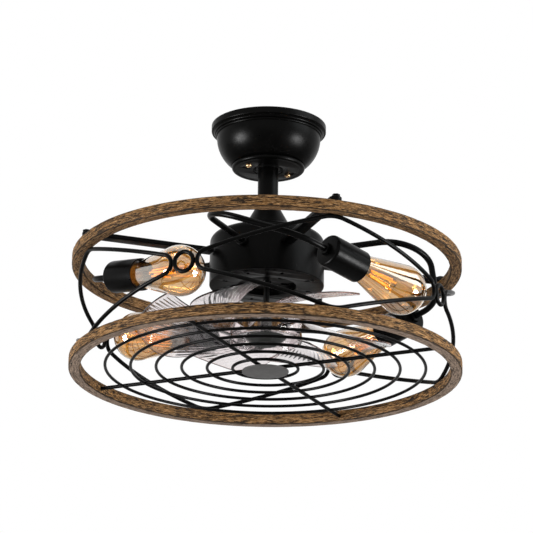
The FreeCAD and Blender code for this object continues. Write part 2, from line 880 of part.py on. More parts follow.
def lamp_frame():
    """Placement of the first lamp: origin at the back of its cup, local Z along the bulb."""
    heading = math.radians(float(size.arm_angle + size.lamp_turn))
    outward = FreeCAD.Vector(math.cos(heading), math.sin(heading), 0)
    along = UP.cross(outward)
    dip = math.radians(float(size.lamp_dip))
    axis = along * math.cos(dip) - UP * math.sin(dip)
    foot = outward * float(lamp_offset) + UP * float(size.lamp_rise - lower_ring_top_drop)
    back = foot - along * float(size.lamp_lead)
    return FreeCAD.Placement(back, FreeCAD.Rotation(outward, UP.cross(axis), axis, "ZXY"))


def rounded_path(points, radii):
    """Wire of straight runs joined by tangent arcs at the inner points."""
    edges = []
    start = points[0]
    for before, corner, after, radius in zip(points, points[1:], points[2:], radii):
        towards = (before - corner).normalize()
        away = (after - corner).normalize()
        half = towards.getAngle(away) / 2
        reach = radius / math.tan(half)
        middle = (towards + away).normalize()
        first = corner + towards * reach
        last = corner + away * reach
        nearest = corner + middle * (radius / math.sin(half) - radius)
        edges.append(Part.LineSegment(start, first).toShape())
        edges.append(Part.Arc(first, nearest, last).toShape())
        start = last
    edges.append(Part.LineSegment(start, points[-1]).toShape())
    return Part.Wire(edges)


def pipe(path, radius):
    """Round bar along a wire."""
    first = path.OrderedEdges[0]
    start = first.valueAt(first.FirstParameter)
    heading = first.tangentAt(first.FirstParameter)
    profile = Part.Wire(Part.makeCircle(radius, start, heading))
    return path.makePipeShell([profile], True, False)


def build_arms():
    frame = lamp_frame()
    axis = frame.Rotation.multVec(UP)
    angle = math.radians(float(size.arm_angle))
    outward = FreeCAD.Vector(math.cos(angle), math.sin(angle), 0)
    level = UP * -float(size.motor_drop + size.arm_below_top)
    points = [
        level + outward * float(size.housing_radius + size.assembly_gap),
        level + outward * float(arm_corner_reach),
        frame.Base - axis * float(size.arm_cup_run),
        frame.Base + axis * float(size.socket_base - size.assembly_gap),
    ]
    path = rounded_path(points, [float(size.arm_corner_bend), float(size.arm_cup_bend)])
    tube = pipe(path, float(size.arm_radius)).cut(pipe(path, float(size.arm_radius - size.arm_wall)))
    for index, turn in enumerate(quarter_turns()):
        arm = doc.addObject("Part::Feature", f"lamp_arm_{index + 1}")
        arm.Shape = tube
        arm.Placement = turn
        node(arm)
    bore = size.arm_radius + size.fit_gap
    wall_radius = size.housing_radius + size.fit_gap
    reach = wall_radius + size.bush_length
    bush = Part.makeCylinder(size.bush_radius, reach, level, outward)
    bush = bush.cut(Part.makeCylinder(bore, reach, level, outward))
    bush = bush.cut(Part.makeCylinder(wall_radius, size.housing_height, UP * -float(plate_drop)))
    group("arm_bushes", bush, quarter_turns())
    nut = hexagon_prism(size.arm_nut_radius, size.arm_nut_length, bore)
    nut.Placement = frame.multiply(
        FreeCAD.Placement(FreeCAD.Vector(0, 0, -float(size.arm_nut_length)), FreeCAD.Rotation()))
    group("arm_nuts", nut, quarter_turns())


def at_lamp(body, turn, up):
    """Put a body on a lamp's axis, a height above the back of its cup."""
    lift = FreeCAD.Placement(FreeCAD.Vector(0, 0, float(up)), FreeCAD.Rotation())
    body.Placement = turn.multiply(lamp_frame()).multiply(lift)
    return body


def cup_outline():
    wall = size.cup_wall
    edge = size.cup_edge
    inner = size.cup_radius - wall
    bore = size.arm_radius + size.fit_gap
    return [
        (bore, 0),
        (size.cup_radius - edge, 0),
        (size.cup_radius, edge, edge, LEFT),
        (size.cup_radius, size.cup_length),
        (inner, size.cup_length),
        (inner, edge),
        (size.cup_radius - edge, wall, edge - wall, RIGHT),
        (bore, wall),
    ]


def socket_outline():
    outer = size.cup_radius - size.cup_wall - size.assembly_gap
    bore = size.base_radius + size.assembly_gap
    length = size.socket_floor + size.base_length
    return [(0, 0), (outer, 0), (outer, length), (bore, length),
            (bore, size.socket_floor), (0, size.socket_floor)]


def base_outline():
    tip = size.base_tip_length
    return [(0, 0), (size.base_tip_radius, 0), (size.base_tip_radius, tip), (size.base_radius, tip + tip),
            (size.base_radius, size.base_length), (0, size.base_length)]


def glass_outline():
    """Pear-shaped bulb: straight flanks that run into a round end."""
    outer = size.bulb_radius
    wall = size.bulb_wall
    inner = outer - wall
    centre = size.bulb_length - outer
    neck = size.base_radius + size.assembly_gap
    diagonal = math.sqrt(0.5)
    return [
        (neck - wall, 0),
        (neck, 0),
        (outer * BULB_SIDE_SHARE, centre - outer * BULB_BACK_SHARE),
        (outer, centre, outer, LEFT),
        (outer * diagonal, centre + outer * diagonal, outer, LEFT),
        (outer * BULB_TIP_SHARE, centre + outer * BULB_TIP_RISE_SHARE, outer, LEFT),
        (0, centre + outer * BULB_TIP_RISE_SHARE),
        (0, centre + inner * BULB_TIP_RISE_SHARE),
        (inner * BULB_TIP_SHARE, centre + inner * BULB_TIP_RISE_SHARE),
        (inner * diagonal, centre + inner * diagonal, inner, RIGHT),
        (inner, centre, inner, RIGHT),
        (inner * BULB_SIDE_SHARE, centre - inner * BULB_BACK_SHARE, inner, RIGHT),
    ]


def filament_shape():
    """Glass stem and mast that carry four light-giving rods between two wire stars."""
    low = float(size.stem_length)
    high = low + float(size.filament_length)
    tip_radius = float(size.mast_radius)
    shapes = [Part.makeCylinder(tip_radius, high, FreeCAD.Vector())]
    for turn in range(FILAMENTS):
        spin = FreeCAD.Rotation(UP, turn * 360 / FILAMENTS)
        foot = spin.multVec(FreeCAD.Vector(float(size.filament_foot_reach), 0, low))
        head = spin.multVec(FreeCAD.Vector(float(size.filament_head_reach), 0, high - tip_radius))
        rod = head - foot
        shapes.append(Part.makeCylinder(size.filament_radius, rod.Length, foot, rod))
        for end in (foot, head):
            middle = UP * end.z
            shapes.append(Part.makeCylinder(size.spider_radius, (end - middle).Length, middle, end - middle))
    cone = Part.makeCone(size.stem_radius, tip_radius, low)
    return cone.multiFuse(shapes).removeSplitter()


def build_lamps():
    floor = size.socket_base + size.socket_floor + size.seat_gap
    glass_up = floor + size.base_length
    socket = revolved("lamp_socket", socket_outline())
    at_lamp(socket, FreeCAD.Placement(), size.socket_base)
    group("lamp_sockets", socket.Shape, quarter_turns())
    filament = filament_shape()
    for index, turn in enumerate(quarter_turns()):
        number = index + 1
        node(at_lamp(revolved(f"socket_cup_{number}", cup_outline()), turn, 0))
        node(at_lamp(revolved(f"bulb_base_{number}", base_outline()), turn, floor))
        node(at_lamp(revolved(f"bulb_glass_{number}", glass_outline()), turn, glass_up))
        mount = doc.addObject("Part::Feature", f"bulb_filament_{number}")
        mount.Shape = filament
        node(at_lamp(mount, turn, glass_up))


# Wire cage


def arc_from(start, heading, end):
    """Arc that leaves start along heading and ends at end."""
    chord = end - start
    half = heading.getAngle(chord) / 2
    middle = (heading + chord.normalize()).normalize()
    reach = (end - start).Length / 2 / math.cos(half)
    return Part.Arc(start, start + middle * reach, end).toShape()


def biarc(start, heading, end, last_heading):
    """Two arcs that join two points smoothly along given headings."""
    gap = end - start
    both = heading + last_heading
    spread = 2 * (1 - heading.dot(last_heading))
    along = gap.dot(both)
    reach = (math.sqrt(along ** 2 + spread * gap.dot(gap)) - along) / spread
    joint = (start + end + (heading - last_heading) * reach) / 2
    return [arc_from(start, heading, joint), Part.Edge(arc_from(end, -last_heading, joint))]


def loop_path():
    """Half of a cage loop, from its top down one side to its foot, bent round the cage's cylinder."""
    radius = float(cage_radius)
    side_bend = float(size.loop_side_bend)
    end_bend = float(size.loop_end_bend)
    wire = float(size.cage_wire_radius)
    top = float(size.cage_height) / 2 - wire - float(size.seat_gap)
    link_reach = float(size.link_radius) + wire * 2 + float(size.seat_gap)
    side = radius * math.pi / QUARTERS - link_reach
    end_centre = FreeCAD.Vector(0, top - end_bend, 0)
    side_centre = FreeCAD.Vector(side - side_bend, 0, 0)
    span = side_centre - end_centre
    tilt = math.atan2(span.y, span.x) + math.acos((end_bend - side_bend) / span.Length)
    normal = FreeCAD.Vector(math.cos(tilt), math.sin(tilt), 0)
    run = FreeCAD.Vector(normal.y, -normal.x, 0)
    upper = [(FreeCAD.Vector(0, top, 0), FreeCAD.Vector(1, 0, 0)),
             (end_centre + normal * end_bend, run),
             (side_centre + normal * side_bend, run),
             (FreeCAD.Vector(side, 0, 0), FreeCAD.Vector(0, -1, 0))]
    lower = [(FreeCAD.Vector(point.x, -point.y, 0), FreeCAD.Vector(-way.x, way.y, 0))
             for point, way in reversed(upper[:-1])]
    knots = []
    for point, way in upper + lower:
        angle = point.x / radius
        out = FreeCAD.Vector(math.cos(angle), math.sin(angle), 0)
        knots.append((out * radius + UP * point.y, UP.cross(out) * way.x + UP * way.y))
    edges = []
    for (start, heading), (end, last_heading) in zip(knots, knots[1:]):
        edges.extend(biarc(start, heading, end, last_heading))
    return Part.Wire(Part.sortEdges(edges)[0])


def build_cage():
    half = pipe(loop_path(), float(size.cage_wire_radius))
    loop = half.fuse(half.mirror(FreeCAD.Vector(), FreeCAD.Vector(0, 1, 0)))
    level = FreeCAD.Placement(UP * -float(cage_middle_drop), FreeCAD.Rotation())
    for index, turn in enumerate(quarter_turns()):
        piece = doc.addObject("Part::Feature", f"cage_loop_{index + 1}")
        piece.Shape = loop
        piece.Placement = turn.multiply(level)
        node(piece)
    link = Part.makeTorus(size.link_radius, size.cage_wire_radius)
    link.Placement = FreeCAD.Placement(FreeCAD.Vector(float(cage_radius), 0, -float(cage_middle_drop)),
                                       FreeCAD.Rotation(UP, FreeCAD.Vector(1, 0, 0)))
    eighth = FreeCAD.Placement(FreeCAD.Vector(), FreeCAD.Rotation(UP, 180 / QUARTERS))
    group("cage_links", link, [turn.multiply(eighth) for turn in quarter_turns()])


# Grille


def build_grille():
    wires = []
    for index in range(GRILLE_CIRCLES):
        circle = doc.addObject("Part::Torus", f"grille_circle_{index + 1}")
        bind(circle, "Radius1", size.grille_first_radius + grille_spacing * index)
        bind(circle, "Radius2", size.grille_wire_radius)
        wires.append(circle)
    for index in range(QUARTERS):
        spoke = doc.addObject("Part::Cylinder", f"grille_spoke_{index + 1}")
        bind(spoke, "Radius", size.spoke_radius)
        bind(spoke, "Height", ring_inner_radius - size.seat_gap)
        angle = math.radians((index + 0.5) * 360 / QUARTERS)
        outward = FreeCAD.Vector(math.cos(angle), math.sin(angle), 0)
        spoke.Placement = FreeCAD.Placement(FreeCAD.Vector(), FreeCAD.Rotation(UP, outward))
        wires.append(spoke)
    boss = doc.addObject("Part::Cylinder", "grille_boss")
    bind(boss, "Radius", size.grille_boss_radius)
    boss_half = size.spoke_radius + size.assembly_gap
    bind(boss, "Height", boss_half * 2)
    bind(boss, "Placement.Base.z", -boss_half)
    wires.append(boss)
    grille = doc.addObject("Part::MultiFuse", "wire_grille")
    grille.Shapes = wires
    grille_drop = bottom_drop - size.grille_rise
    node(hang(grille, grille_drop))
    disc = doc.addObject("Part::Cylinder", "grille_disc")
    bind(disc, "Radius", size.grille_disc_radius)
    bind(disc, "Height", size.grille_disc_thickness)
    node(hang(disc, grille_drop + boss_half + size.grille_disc_thickness))


# Impeller


def build_hub():
    edge = size.hub_edge
    node(hang(revolved("impeller_hub", [
        (hub_bore, 0),
        (size.hub_radius, 0),
        (size.hub_radius, size.hub_height - edge),
        (size.hub_radius - edge, size.hub_height, edge, LEFT),
        (hub_bore, size.hub_height),
    ]), hub_drop))
    wall = size.cap_wall
    node(hang(revolved("hub_cap", [
        (0, 0),
        (size.cap_face_radius, 0),
        (size.hub_radius, size.cap_height),
        (size.hub_radius - wall, size.cap_height),
        (size.cap_face_radius - wall, wall),
        (0, wall),
    ]), hub_drop + size.cap_height))
    nut = doc.addObject("Part::Feature", "hub_nut")
    nut.Shape = hexagon_prism(size.hub_nut_radius, size.hub_nut_height, hub_bore)
    node(hang(nut, hub_drop + size.hub_nut_height))


def blade_section(radius_share, middle, half_span, pitch_share):
    """Thin cambered section of a blade, upright and square to its own radius."""
    angle = math.radians(middle)
    out = FreeCAD.Vector(math.cos(angle), math.sin(angle), 0)
    reach = float(blade_tip_radius) * radius_share
    centre = out * reach
    lead = UP.cross(out) * (reach * math.tan(math.radians(half_span)))
    lead += UP * (float(size.blade_pitch_height) * pitch_share / 2)
    normal = out.cross(lead).normalize()
    half = normal * (float(size.blade_thickness) / 2)
    crown = centre + normal * (float(size.blade_camber) * radius_share)
    front, back = centre + lead, centre - lead
    return Part.Wire([
        Part.Arc(back + half, crown + half, front + half).toShape(),
        Part.LineSegment(front + half, front - half).toShape(),
        Part.Arc(front - half, crown - half, back - half).toShape(),
        Part.LineSegment(back - half, back + half).toShape(),
    ])


def blade_reach(height, low):
    """Solid that trims a blade: a round tip beyond the full inner circle, without the hub."""
    tip = float(blade_tip_radius)
    curve = float(size.blade_tip_curve)
    angle = math.radians(float(size.blade_tip_angle))
    centre = FreeCAD.Vector(math.cos(angle), math.sin(angle), 0) * (tip - curve)
    inner = Part.makeCylinder(tip - float(size.blade_corner), height, low)
    rounded = Part.makeCylinder(curve, height, low + centre)
    return inner.fuse(rounded).cut(Part.makeCylinder(size.hub_radius + size.fit_gap, height, low))


def build_blades():
    sections = [blade_section(*section) for section in BLADE_SECTION_SHARES]
    raw = Part.makeLoft(sections, True)
    tall = float(size.hub_height) * 2
    low = UP * -(tall / 2)
    blade = raw.common(blade_reach(tall, low))
    blade.Placement = FreeCAD.Placement(UP * float(size.blade_rise - bottom_drop), FreeCAD.Rotation())
    angles = [float(size.blade_angle) + turn * 360 / BLADES for turn in range(BLADES)]
    group("impeller_blades", blade, [FreeCAD.Placement(FreeCAD.Vector(), FreeCAD.Rotation(UP, angle))
                                     for angle in angles])


build_canopy()
build_bracket()
build_canopy_screws()
build_ball()
build_downrod()
cross_pin("ball_pin", size.rod_radius + size.pin_radius, size.ball_drop - size.ball_pin_height)
build_collar()
cross_pin("coupling_pin", size.collar_radius, size.motor_drop - size.collar_pin_height)
build_cover()
build_housing()
build_bottom_plate()
build_plate_screws()
build_motor_inside()
build_shaft()
build_rings()
build_bars()
build_bar_bolts()
build_arms()
build_lamps()
build_cage()
build_grille()
build_hub()
build_blades()
doc.recompute()

for item in doc.Objects:
    if "Invalid" in item.State or "Error" in item.State:
        raise RuntimeError(f"{item.Label} failed: {item.State}")
for piece in nodes:
    if piece.Shape.isNull() or not piece.Shape.isValid() or not piece.Shape.Solids:
        raise RuntimeError(f"{piece.Label} has no valid solid")

os.makedirs("parts", exist_ok=True)
for piece in nodes:
    piece.Shape.exportStep(f"parts/{piece.Label}.step")
    solids = piece.Shape.Solids
    print(piece.Label, len(solids), round(sum(solid.Volume for solid in solids), 1))
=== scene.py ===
import json
from math import acos, asin, atan2, cos, pi, radians, remainder, sin, sqrt, tan, tau

import bmesh
import bpy
from mathutils import Matrix, Quaternion, Vector, noise


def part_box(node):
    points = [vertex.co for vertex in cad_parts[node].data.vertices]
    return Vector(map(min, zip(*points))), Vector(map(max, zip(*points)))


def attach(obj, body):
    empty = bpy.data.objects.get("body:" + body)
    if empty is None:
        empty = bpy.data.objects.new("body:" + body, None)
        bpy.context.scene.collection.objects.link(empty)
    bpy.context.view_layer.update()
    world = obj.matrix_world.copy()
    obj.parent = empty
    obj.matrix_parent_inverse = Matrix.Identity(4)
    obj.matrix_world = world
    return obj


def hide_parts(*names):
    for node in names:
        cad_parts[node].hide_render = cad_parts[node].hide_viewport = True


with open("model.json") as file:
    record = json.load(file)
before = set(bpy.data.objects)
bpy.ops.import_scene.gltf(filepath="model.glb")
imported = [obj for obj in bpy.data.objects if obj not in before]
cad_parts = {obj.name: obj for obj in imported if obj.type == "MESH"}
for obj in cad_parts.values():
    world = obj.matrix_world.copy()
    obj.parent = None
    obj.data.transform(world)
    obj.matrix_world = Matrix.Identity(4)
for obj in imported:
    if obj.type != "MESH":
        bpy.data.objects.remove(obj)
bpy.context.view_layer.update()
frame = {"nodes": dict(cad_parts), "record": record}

# Caged ceiling fan with four lamps. Lengths are in millimetres until a mesh is made, angles in degrees.
# The origin is on the fan's axis in the ceiling plane.
MM = 0.001
UP = Vector((0, 0, 1))
QUARTERS = 4

# Bodies of the frame
CEILING = "ceiling_mount"
FAN = "fan_frame"
IMPELLER = "impeller"

# Canopy: rim band, beads, bowl, lip, bottom face and screws
CANOPY_WALL = 1.2
CANOPY_BAND = 8.8
CANOPY_BAND_LEDGE = 2.5
CANOPY_BEADS = 2
CANOPY_BEAD_STEP = 1.7
CANOPY_BEAD_HEIGHT = 3.3
CANOPY_BEAD_ROLL = 75.0
CANOPY_BOWL_RADIUS = 67.8
CANOPY_BOWL_CURVE = 47.0
CANOPY_FOOT_RADIUS = 47.6
CANOPY_LIP = 3.0
CANOPY_LIP_ROLL = 80.0
CANOPY_FACE_INSET = 5.7
CANOPY_FACE_LIFT = 0.3
CANOPY_HOLE_RADIUS = 20.0
CANOPY_SCREW_CIRCLE = 31.0
CANOPY_SCREW_RADIUS = 3.8
CANOPY_SHANK_RADIUS = 2.0
CANOPY_SHANK_LENGTH = 6.0
KEYHOLE_RADIUS = 5.0
KEYHOLE_SLOT_RADIUS = 2.7
KEYHOLE_TURN = 15.0

# Screw heads: shares of the radius and height for the pan, and of the recess for the cross
PAN_ROWS = ((1.0, 0.0), (1.0, 0.45), (0.86, 0.82), (0.6, 1.0))
CROSS_ROWS = ((1.0, 1.0), (0.6, 0.35))
CROSS_ARM = 0.34
CROSS_RECESS = 2.0

# Hanger ball, rod and coupling cover
BALL_CENTRE_DROP = 13.4
BALL_FOOT = 1.0
BALL_STEPS = 24
ROD_WALL = 2.0
COVER_WALL = 1.2
COVER_FOOT = 3.0
COVER_NECK = 2.0
COVER_NECK_STEP = 1.5
COVER_GAP = 0.3

# Motor housing and bottom plate; holes are given by count, circle, length and width,
# and screw heads by radius, height and recess
HOUSING_WALL = 2.0
HOUSING_SHOULDER = 10.0
SHAFT_HOLE_RADIUS = 6.0
PLATE_THICKNESS = 3.0
PLATE_GAP = 0.1
PLATE_EDGE = 0.4
RECESS_RADIUS = 38.0
RECESS_DEPTH = 6.0
RECESS_LAP = 1.5
RIM_HOLES = (8, 57.0, 7.0, 4.0)
FLOOR_HOLES = (6, 26.0, 13.0, 6.0)
PLATE_SCREW_CIRCLE = 65.0
PLATE_SCREW = (3.2, 1.8, 1.7)

# Hoops: section, worn edges and cracks
HOOP_WIDTH = 15.0
HOOP_CORNER = 2.2
HOOP_STEPS = 512
HOOP_GRID = 0.9
HOOP_EDGE_REACH = 1.8
HOOP_EDGE_FADE = 0.8
HOOP_TOP_WEAR = 0.35
CRACKS_ROUND = 16
CRACKS_OUT_UP = 0.55
CRACKS_OUT_DOWN = 0.23
CRACK_NOISE = (0.7, 2.0, 3)
CRACK_START = 0.32
CRACK_SLOPE = 4.0
CRACK_DEPTH = 0.4
# Hoops: CAD node, seed of the cracks, and share of painted light from below on faces that look down
HOOPS = (("upper_ring", 3.0, 0.15), ("lower_ring", 41.0, 1.0))

# Support bars and their bolts; the crown is given by radius and drop from its top
BAR_INSET = 2.0
BAR_EDGE = 1.2
BOLT_RADIUS = 5.0
BOLT_CROWN = ((0, 0.9), (3.9, 0.9), (3.2, 0.2), (1.6, 0.0), (0, 0.0))
BOLT_CHAMFER = 0.5

# Lamp arms, and lamps along chords of the hoops
ARM_ANGLE = 45.0
ARM_RADIUS = 4.0
ARM_DROP = 28.0
ARM_CORNER_REACH = 222.0
ARM_CORNER_BEND = 50.0
ARM_CUP_BEND = 60.0
ARM_CUP_RUN = 45.0
ARM_CUP_ENTRY = 5.0
BUSH_RADIUS = 7.5
BUSH_SINK = 1.5
BUSH_LENGTH = 6.0
NUT_RADIUS = 8.0
NUT_HEIGHT = 5.0
LAMP_TURN = 67.2
LAMP_DIP = 9.7
LAMP_OFFSET = 192.5
LAMP_LEAD = 75.0
LAMP_RISE = 87.4
CUP_RADIUS = 20.5
CUP_LENGTH = 56.0
CUP_WALL = 1.5
CUP_EDGE = 4.0
GLASS_BASE = 43.1
GLASS_NECK_RADIUS = 13.3
GLASS_RADIUS = 32.0
GLASS_LENGTH = 119.0
GLASS_WALL = 0.9
GLASS_FLANK_ANGLE = -11.5
GLASS_FLANK_BOW = 0.33
GLASS_FLANK_STEPS = 12

# Inside of a bulb: radii, and heights above the neck of its glass
STEM_WALL = 0.8
STEM_FLARE = ((9.0, 0.0), (6.6, 6.0), (4.6, 14.0), (3.4, 22.0), (2.6, 30.0))
STEM_TIP = 30.4
STEM_MAST = ((0, 29.0), (1.3, 29.0), (1.3, 76.0), (0, 76.6))
FILAMENTS = 4
FILAMENT_RADIUS = 0.95
FILAMENT_ENDS = ((3.6, 33.0), (7.4, 70.0))
LEAD_RADIUS = 0.32
LEAD_KNEES = ((3.2, 30.5), (6.6, 72.5))
LEAD_TIES = (29.0, 75.0)

# Wire cage
CAGE_RADIUS = 240.0
CAGE_WIRE = 2.7
LOOP_TOP = 58.4
LOOP_SIDE = 170.9
LOOP_END_BEND = 45.0
LOOP_SIDE_BEND = 13.0
LOOP_BEND_STEPS = 12
LOOP_RUN_STEPS = 20
LINK_RADIUS = 12.5

# Grille
GRILLE_RISE = 7.0
GRILLE_WIRE = 2.0
SPOKE_RADIUS = 2.5
SPOKE_ENTRY = 1.0
GRILLE_FIRST_RADIUS = 41.9
GRILLE_SPACING = 32.6
GRILLE_CIRCLES = 6
BOSS_RADIUS = 9.0
BOSS_HALF = 2.8

# Impeller: blades, clear hub sleeve, spindle and cap
BLADES = 8
BLADE_ANGLE = 10.5
BLADE_RISE = 60.0
BLADE_TIP_RADIUS = 169.0
BLADE_HUB_RADIUS = 45.6
BLADE_THICKNESS = 2.0
BLADE_PITCH = 20.0
BLADE_CAMBER = 3.0
BLADE_TIP_HALF = 51.0
BLADE_FRONT_CORNER = 7.0
BLADE_BACK_CORNER = 20.0
BLADE_ROWS = 44
BLADE_COLUMNS = 130
BLADE_RIBS = 13
BLADE_RIB_DEPTH = 0.16
BLADE_RIB_START = 92.0
BLADE_RIB_RISE = 20.0
BLADE_RIB_TIP_FADE = 8.0
BLADE_RIB_EDGE_FADE = 6.0
SLEEVE_RADIUS = 46.4
SLEEVE_WALL = 1.8
SLEEVE_DROP = 2.0
SPINDLE_RADIUS = 7.0
CAP_RADIUS = 27.5
CAP_RAISE = 4.0
CAP_FACE_RADIUS = 15.0
CAP_FACE_BEND = 3.0
CAP_INNER_RADIUS = 12.0
CAP_WALL = 2.0

# Sections of a blade: share of the tip radius, middle angle, half span and share of the pitch height
BLADE_SECTIONS = (
    (0.11, -52.0, 20.0, 1.10),
    (0.30, -38.0, 17.0, 1.05),
    (0.50, -24.0, 16.0, 1.05),
    (0.75, -11.0, 17.0, 1.02),
    (1.06, 1.5, 17.0, 1.0),
)
BLADE_SHARES, BLADE_MIDDLES, BLADE_HALVES, BLADE_PITCHES = zip(*BLADE_SECTIONS)

# Fineness and shading of the meshes
LATHE_STEPS = 96
FINE_STEPS = 128
ARC_STEPS = 6
TUBE_SIDES = 16
MERGE = 0.001
CREASE = 35.0
GLASS_CREASE = 50.0
HOOP_CREASE = 60.0


def box_mm(node):
    """Lowest and highest corners of a CAD node."""
    low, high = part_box(node)
    return low / MM, high / MM


# Levels that follow from the CAD nodes
ARM_LEVEL = box_mm("motor_housing")[1].z - ARM_DROP
LAMP_LEVEL = box_mm("lower_ring")[1].z + LAMP_RISE
CAGE_MIDDLE = (box_mm("upper_ring")[0].z + box_mm("lower_ring")[1].z) / 2
GRILLE_LEVEL = box_mm("lower_ring")[0].z + GRILLE_RISE
BLADE_LEVEL = box_mm("lower_ring")[0].z + BLADE_RISE


# Mesh tools


class Form:
    """Points and the faces between them."""

    def __init__(self, points, faces):
        self.points = [Vector(point) for point in points]
        self.faces = faces

    def moved(self, matrix):
        return Form([matrix @ point for point in self.points], self.faces)

    def shifted(self, up, across=0.0):
        return self.moved(Matrix.Translation((across, 0, up)))

    def turned(self, angle):
        return self.moved(Matrix.Rotation(radians(angle), 4, "Z"))

    def __add__(self, other):
        shift = len(self.points)
        faces = [tuple(corner + shift for corner in face) for face in other.faces]
        return Form(self.points + other.points, self.faces + faces)


def joined(forms):
    whole = forms[0]
    for form in forms[1:]:
        whole = whole + form
    return whole


def quarters(form):
    """Four copies of a form about the fan's axis as one."""
    return joined([form.turned(90 * turn) for turn in range(QUARTERS)])


def new_object(name, data):
    made = bpy.data.objects.new(name, data)
    bpy.context.scene.collection.objects.link(made)
    return made


def add_piece(name, form, nodes=(), slot="black_paint", body=FAN, crease=CREASE, material=None):
    """Make a form a smooth-shaded piece that rides on a body and stands for CAD nodes."""
    mesh = bpy.data.meshes.new(name)
    mesh.from_pydata([point * MM for point in form.points], [], form.faces)
    work = bmesh.new()
    work.from_mesh(mesh)
    bmesh.ops.remove_doubles(work, verts=work.verts, dist=MERGE * MM)
    bmesh.ops.recalc_face_normals(work, faces=work.faces)
    work.to_mesh(mesh)
    work.free()
    mesh.polygons.foreach_set("use_smooth", [True] * len(mesh.polygons))
    mesh.set_sharp_from_angle(angle=radians(crease))
    mesh.materials.append(material or MATERIALS[slot])
    piece = new_object(name, mesh)
    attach(piece, body)
    if nodes:
        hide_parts(*nodes)
    return piece


def add_quarters(name, form, node):
    """Four numbered black pieces of the fan frame, each a quarter turn on from the last."""
    for turn in range(QUARTERS):
        add_piece(f"{name}_{turn + 1}", form.turned(90 * turn), [f"{node}_{turn + 1}"])


def mark_points(piece, name, values):
    """Keep a value for each point of a piece, for its material to read."""
    piece.data.attributes.new(name, "FLOAT", "POINT").data.foreach_set("value", values)


def clamped(value):
    return min(1.0, max(0.0, value))


def unit(angle):
    return Vector((cos(angle), sin(angle)))


def arc(centre, radius, first, last, steps):
    """Points of an arc between two angles in radians."""
    return [centre + unit(first + (last - first) * step / steps) * radius for step in range(steps + 1)]


def arc_between(start, end, radius, steps=24):
    """Points of an arc that turns left from start to end."""
    start, end = Vector(start), Vector(end)
    chord = end - start
    side = Vector((-chord.y, chord.x)).normalized()
    centre = (start + end) / 2 + side * sqrt(radius ** 2 - (chord.length / 2) ** 2)
    first = atan2(start.y - centre.y, start.x - centre.x)
    sweep = remainder(atan2(end.y - centre.y, end.x - centre.x) - first, tau)
    return arc(centre, radius, first, first + sweep, steps)


def circle_outline(radius, across=0.0, up=0.0, steps=32):
    return [Vector((across, up)) + unit(tau * step / steps) * radius for step in range(steps)]


def fillet(before, corner, after, bend):
    """Centre of the arc that rounds a corner, and where the arc starts and ends from there."""
    towards = (before - corner).normalized()
    away = (after - corner).normalized()
    half = towards.angle(away) / 2
    centre = corner + (towards + away).normalized() * (bend / sin(half))
    run = bend / tan(half)
    return centre, corner + towards * run - centre, corner + away * run - centre


def rounded(corners, steps=ARC_STEPS):
    """Closed outline of (across, up, bend) corners with each bend drawn as an arc."""
    places = [Vector(corner[:2]) for corner in corners]
    outline = []
    for index, (_, _, bend) in enumerate(corners):
        if not bend:
            outline.append(places[index])
            continue
        after = places[(index + 1) % len(places)]
        centre, first, last = fillet(places[index - 1], places[index], after, bend)
        start = atan2(first.y, first.x)
        sweep = remainder(atan2(last.y, last.x) - start, tau)
        outline += arc(centre, bend, start, start + sweep, steps)
    return outline


def rounded_path(corners, bends, steps=16):
    """Straight runs through corners, joined by tangent arcs."""
    path = [corners[0]]
    for before, corner, after, bend in zip(corners, corners[1:], corners[2:], bends):
        centre, first, last = fillet(before, corner, after, bend)
        for step in range(steps + 1):
            path.append(centre + first.normalized().slerp(last.normalized(), step / steps) * bend)
    path.append(corners[-1])
    return path


def skin(rows, count, closed=False):
    """Faces between rows of points, where each row runs round a loop."""
    faces = []
    for row in range(rows if closed else rows - 1):
        here, there = row * count, (row + 1) % rows * count
        for step in range(count):
            after = (step + 1) % count
            faces.append((here + step, here + after, there + after, there + step))
    return faces


def end_faces(rows, count):
    """Faces that close the first and the last row."""
    return [tuple(range(count)), tuple(range((rows - 1) * count, rows * count))]


def lathe(outline, steps=LATHE_STEPS):
    """Turn a closed outline of (radius, height) points about the vertical axis."""
    points = []
    rings = []
    for radius, height in outline:
        first = len(points)
        if radius < MM:
            points.append((0, 0, height))
            rings.append([first] * steps)
            continue
        rings.append(list(range(first, first + steps)))
        points += [(*unit(tau * step / steps) * radius, height) for step in range(steps)]
    faces = []
    for ring, following in zip(rings, rings[1:] + rings[:1]):
        for step in range(steps):
            after = (step + 1) % steps
            corners = dict.fromkeys((ring[step], ring[after], following[after], following[step]))
            if len(corners) > 2:
                faces.append(tuple(corners))
    return Form(points, faces)


def barrel(inner, outer, low, high, low_bend=0, high_bend=0, steps=LATHE_STEPS):
    """Round bar or tube between two heights, with its outer edges rounded."""
    return lathe(rounded([(inner, low, 0), (outer, low, low_bend), (outer, high, high_bend),
                          (inner, high, 0)]), steps)


def torus(radius, wire, steps):
    return lathe(circle_outline(wire, radius, steps=TUBE_SIDES), steps)


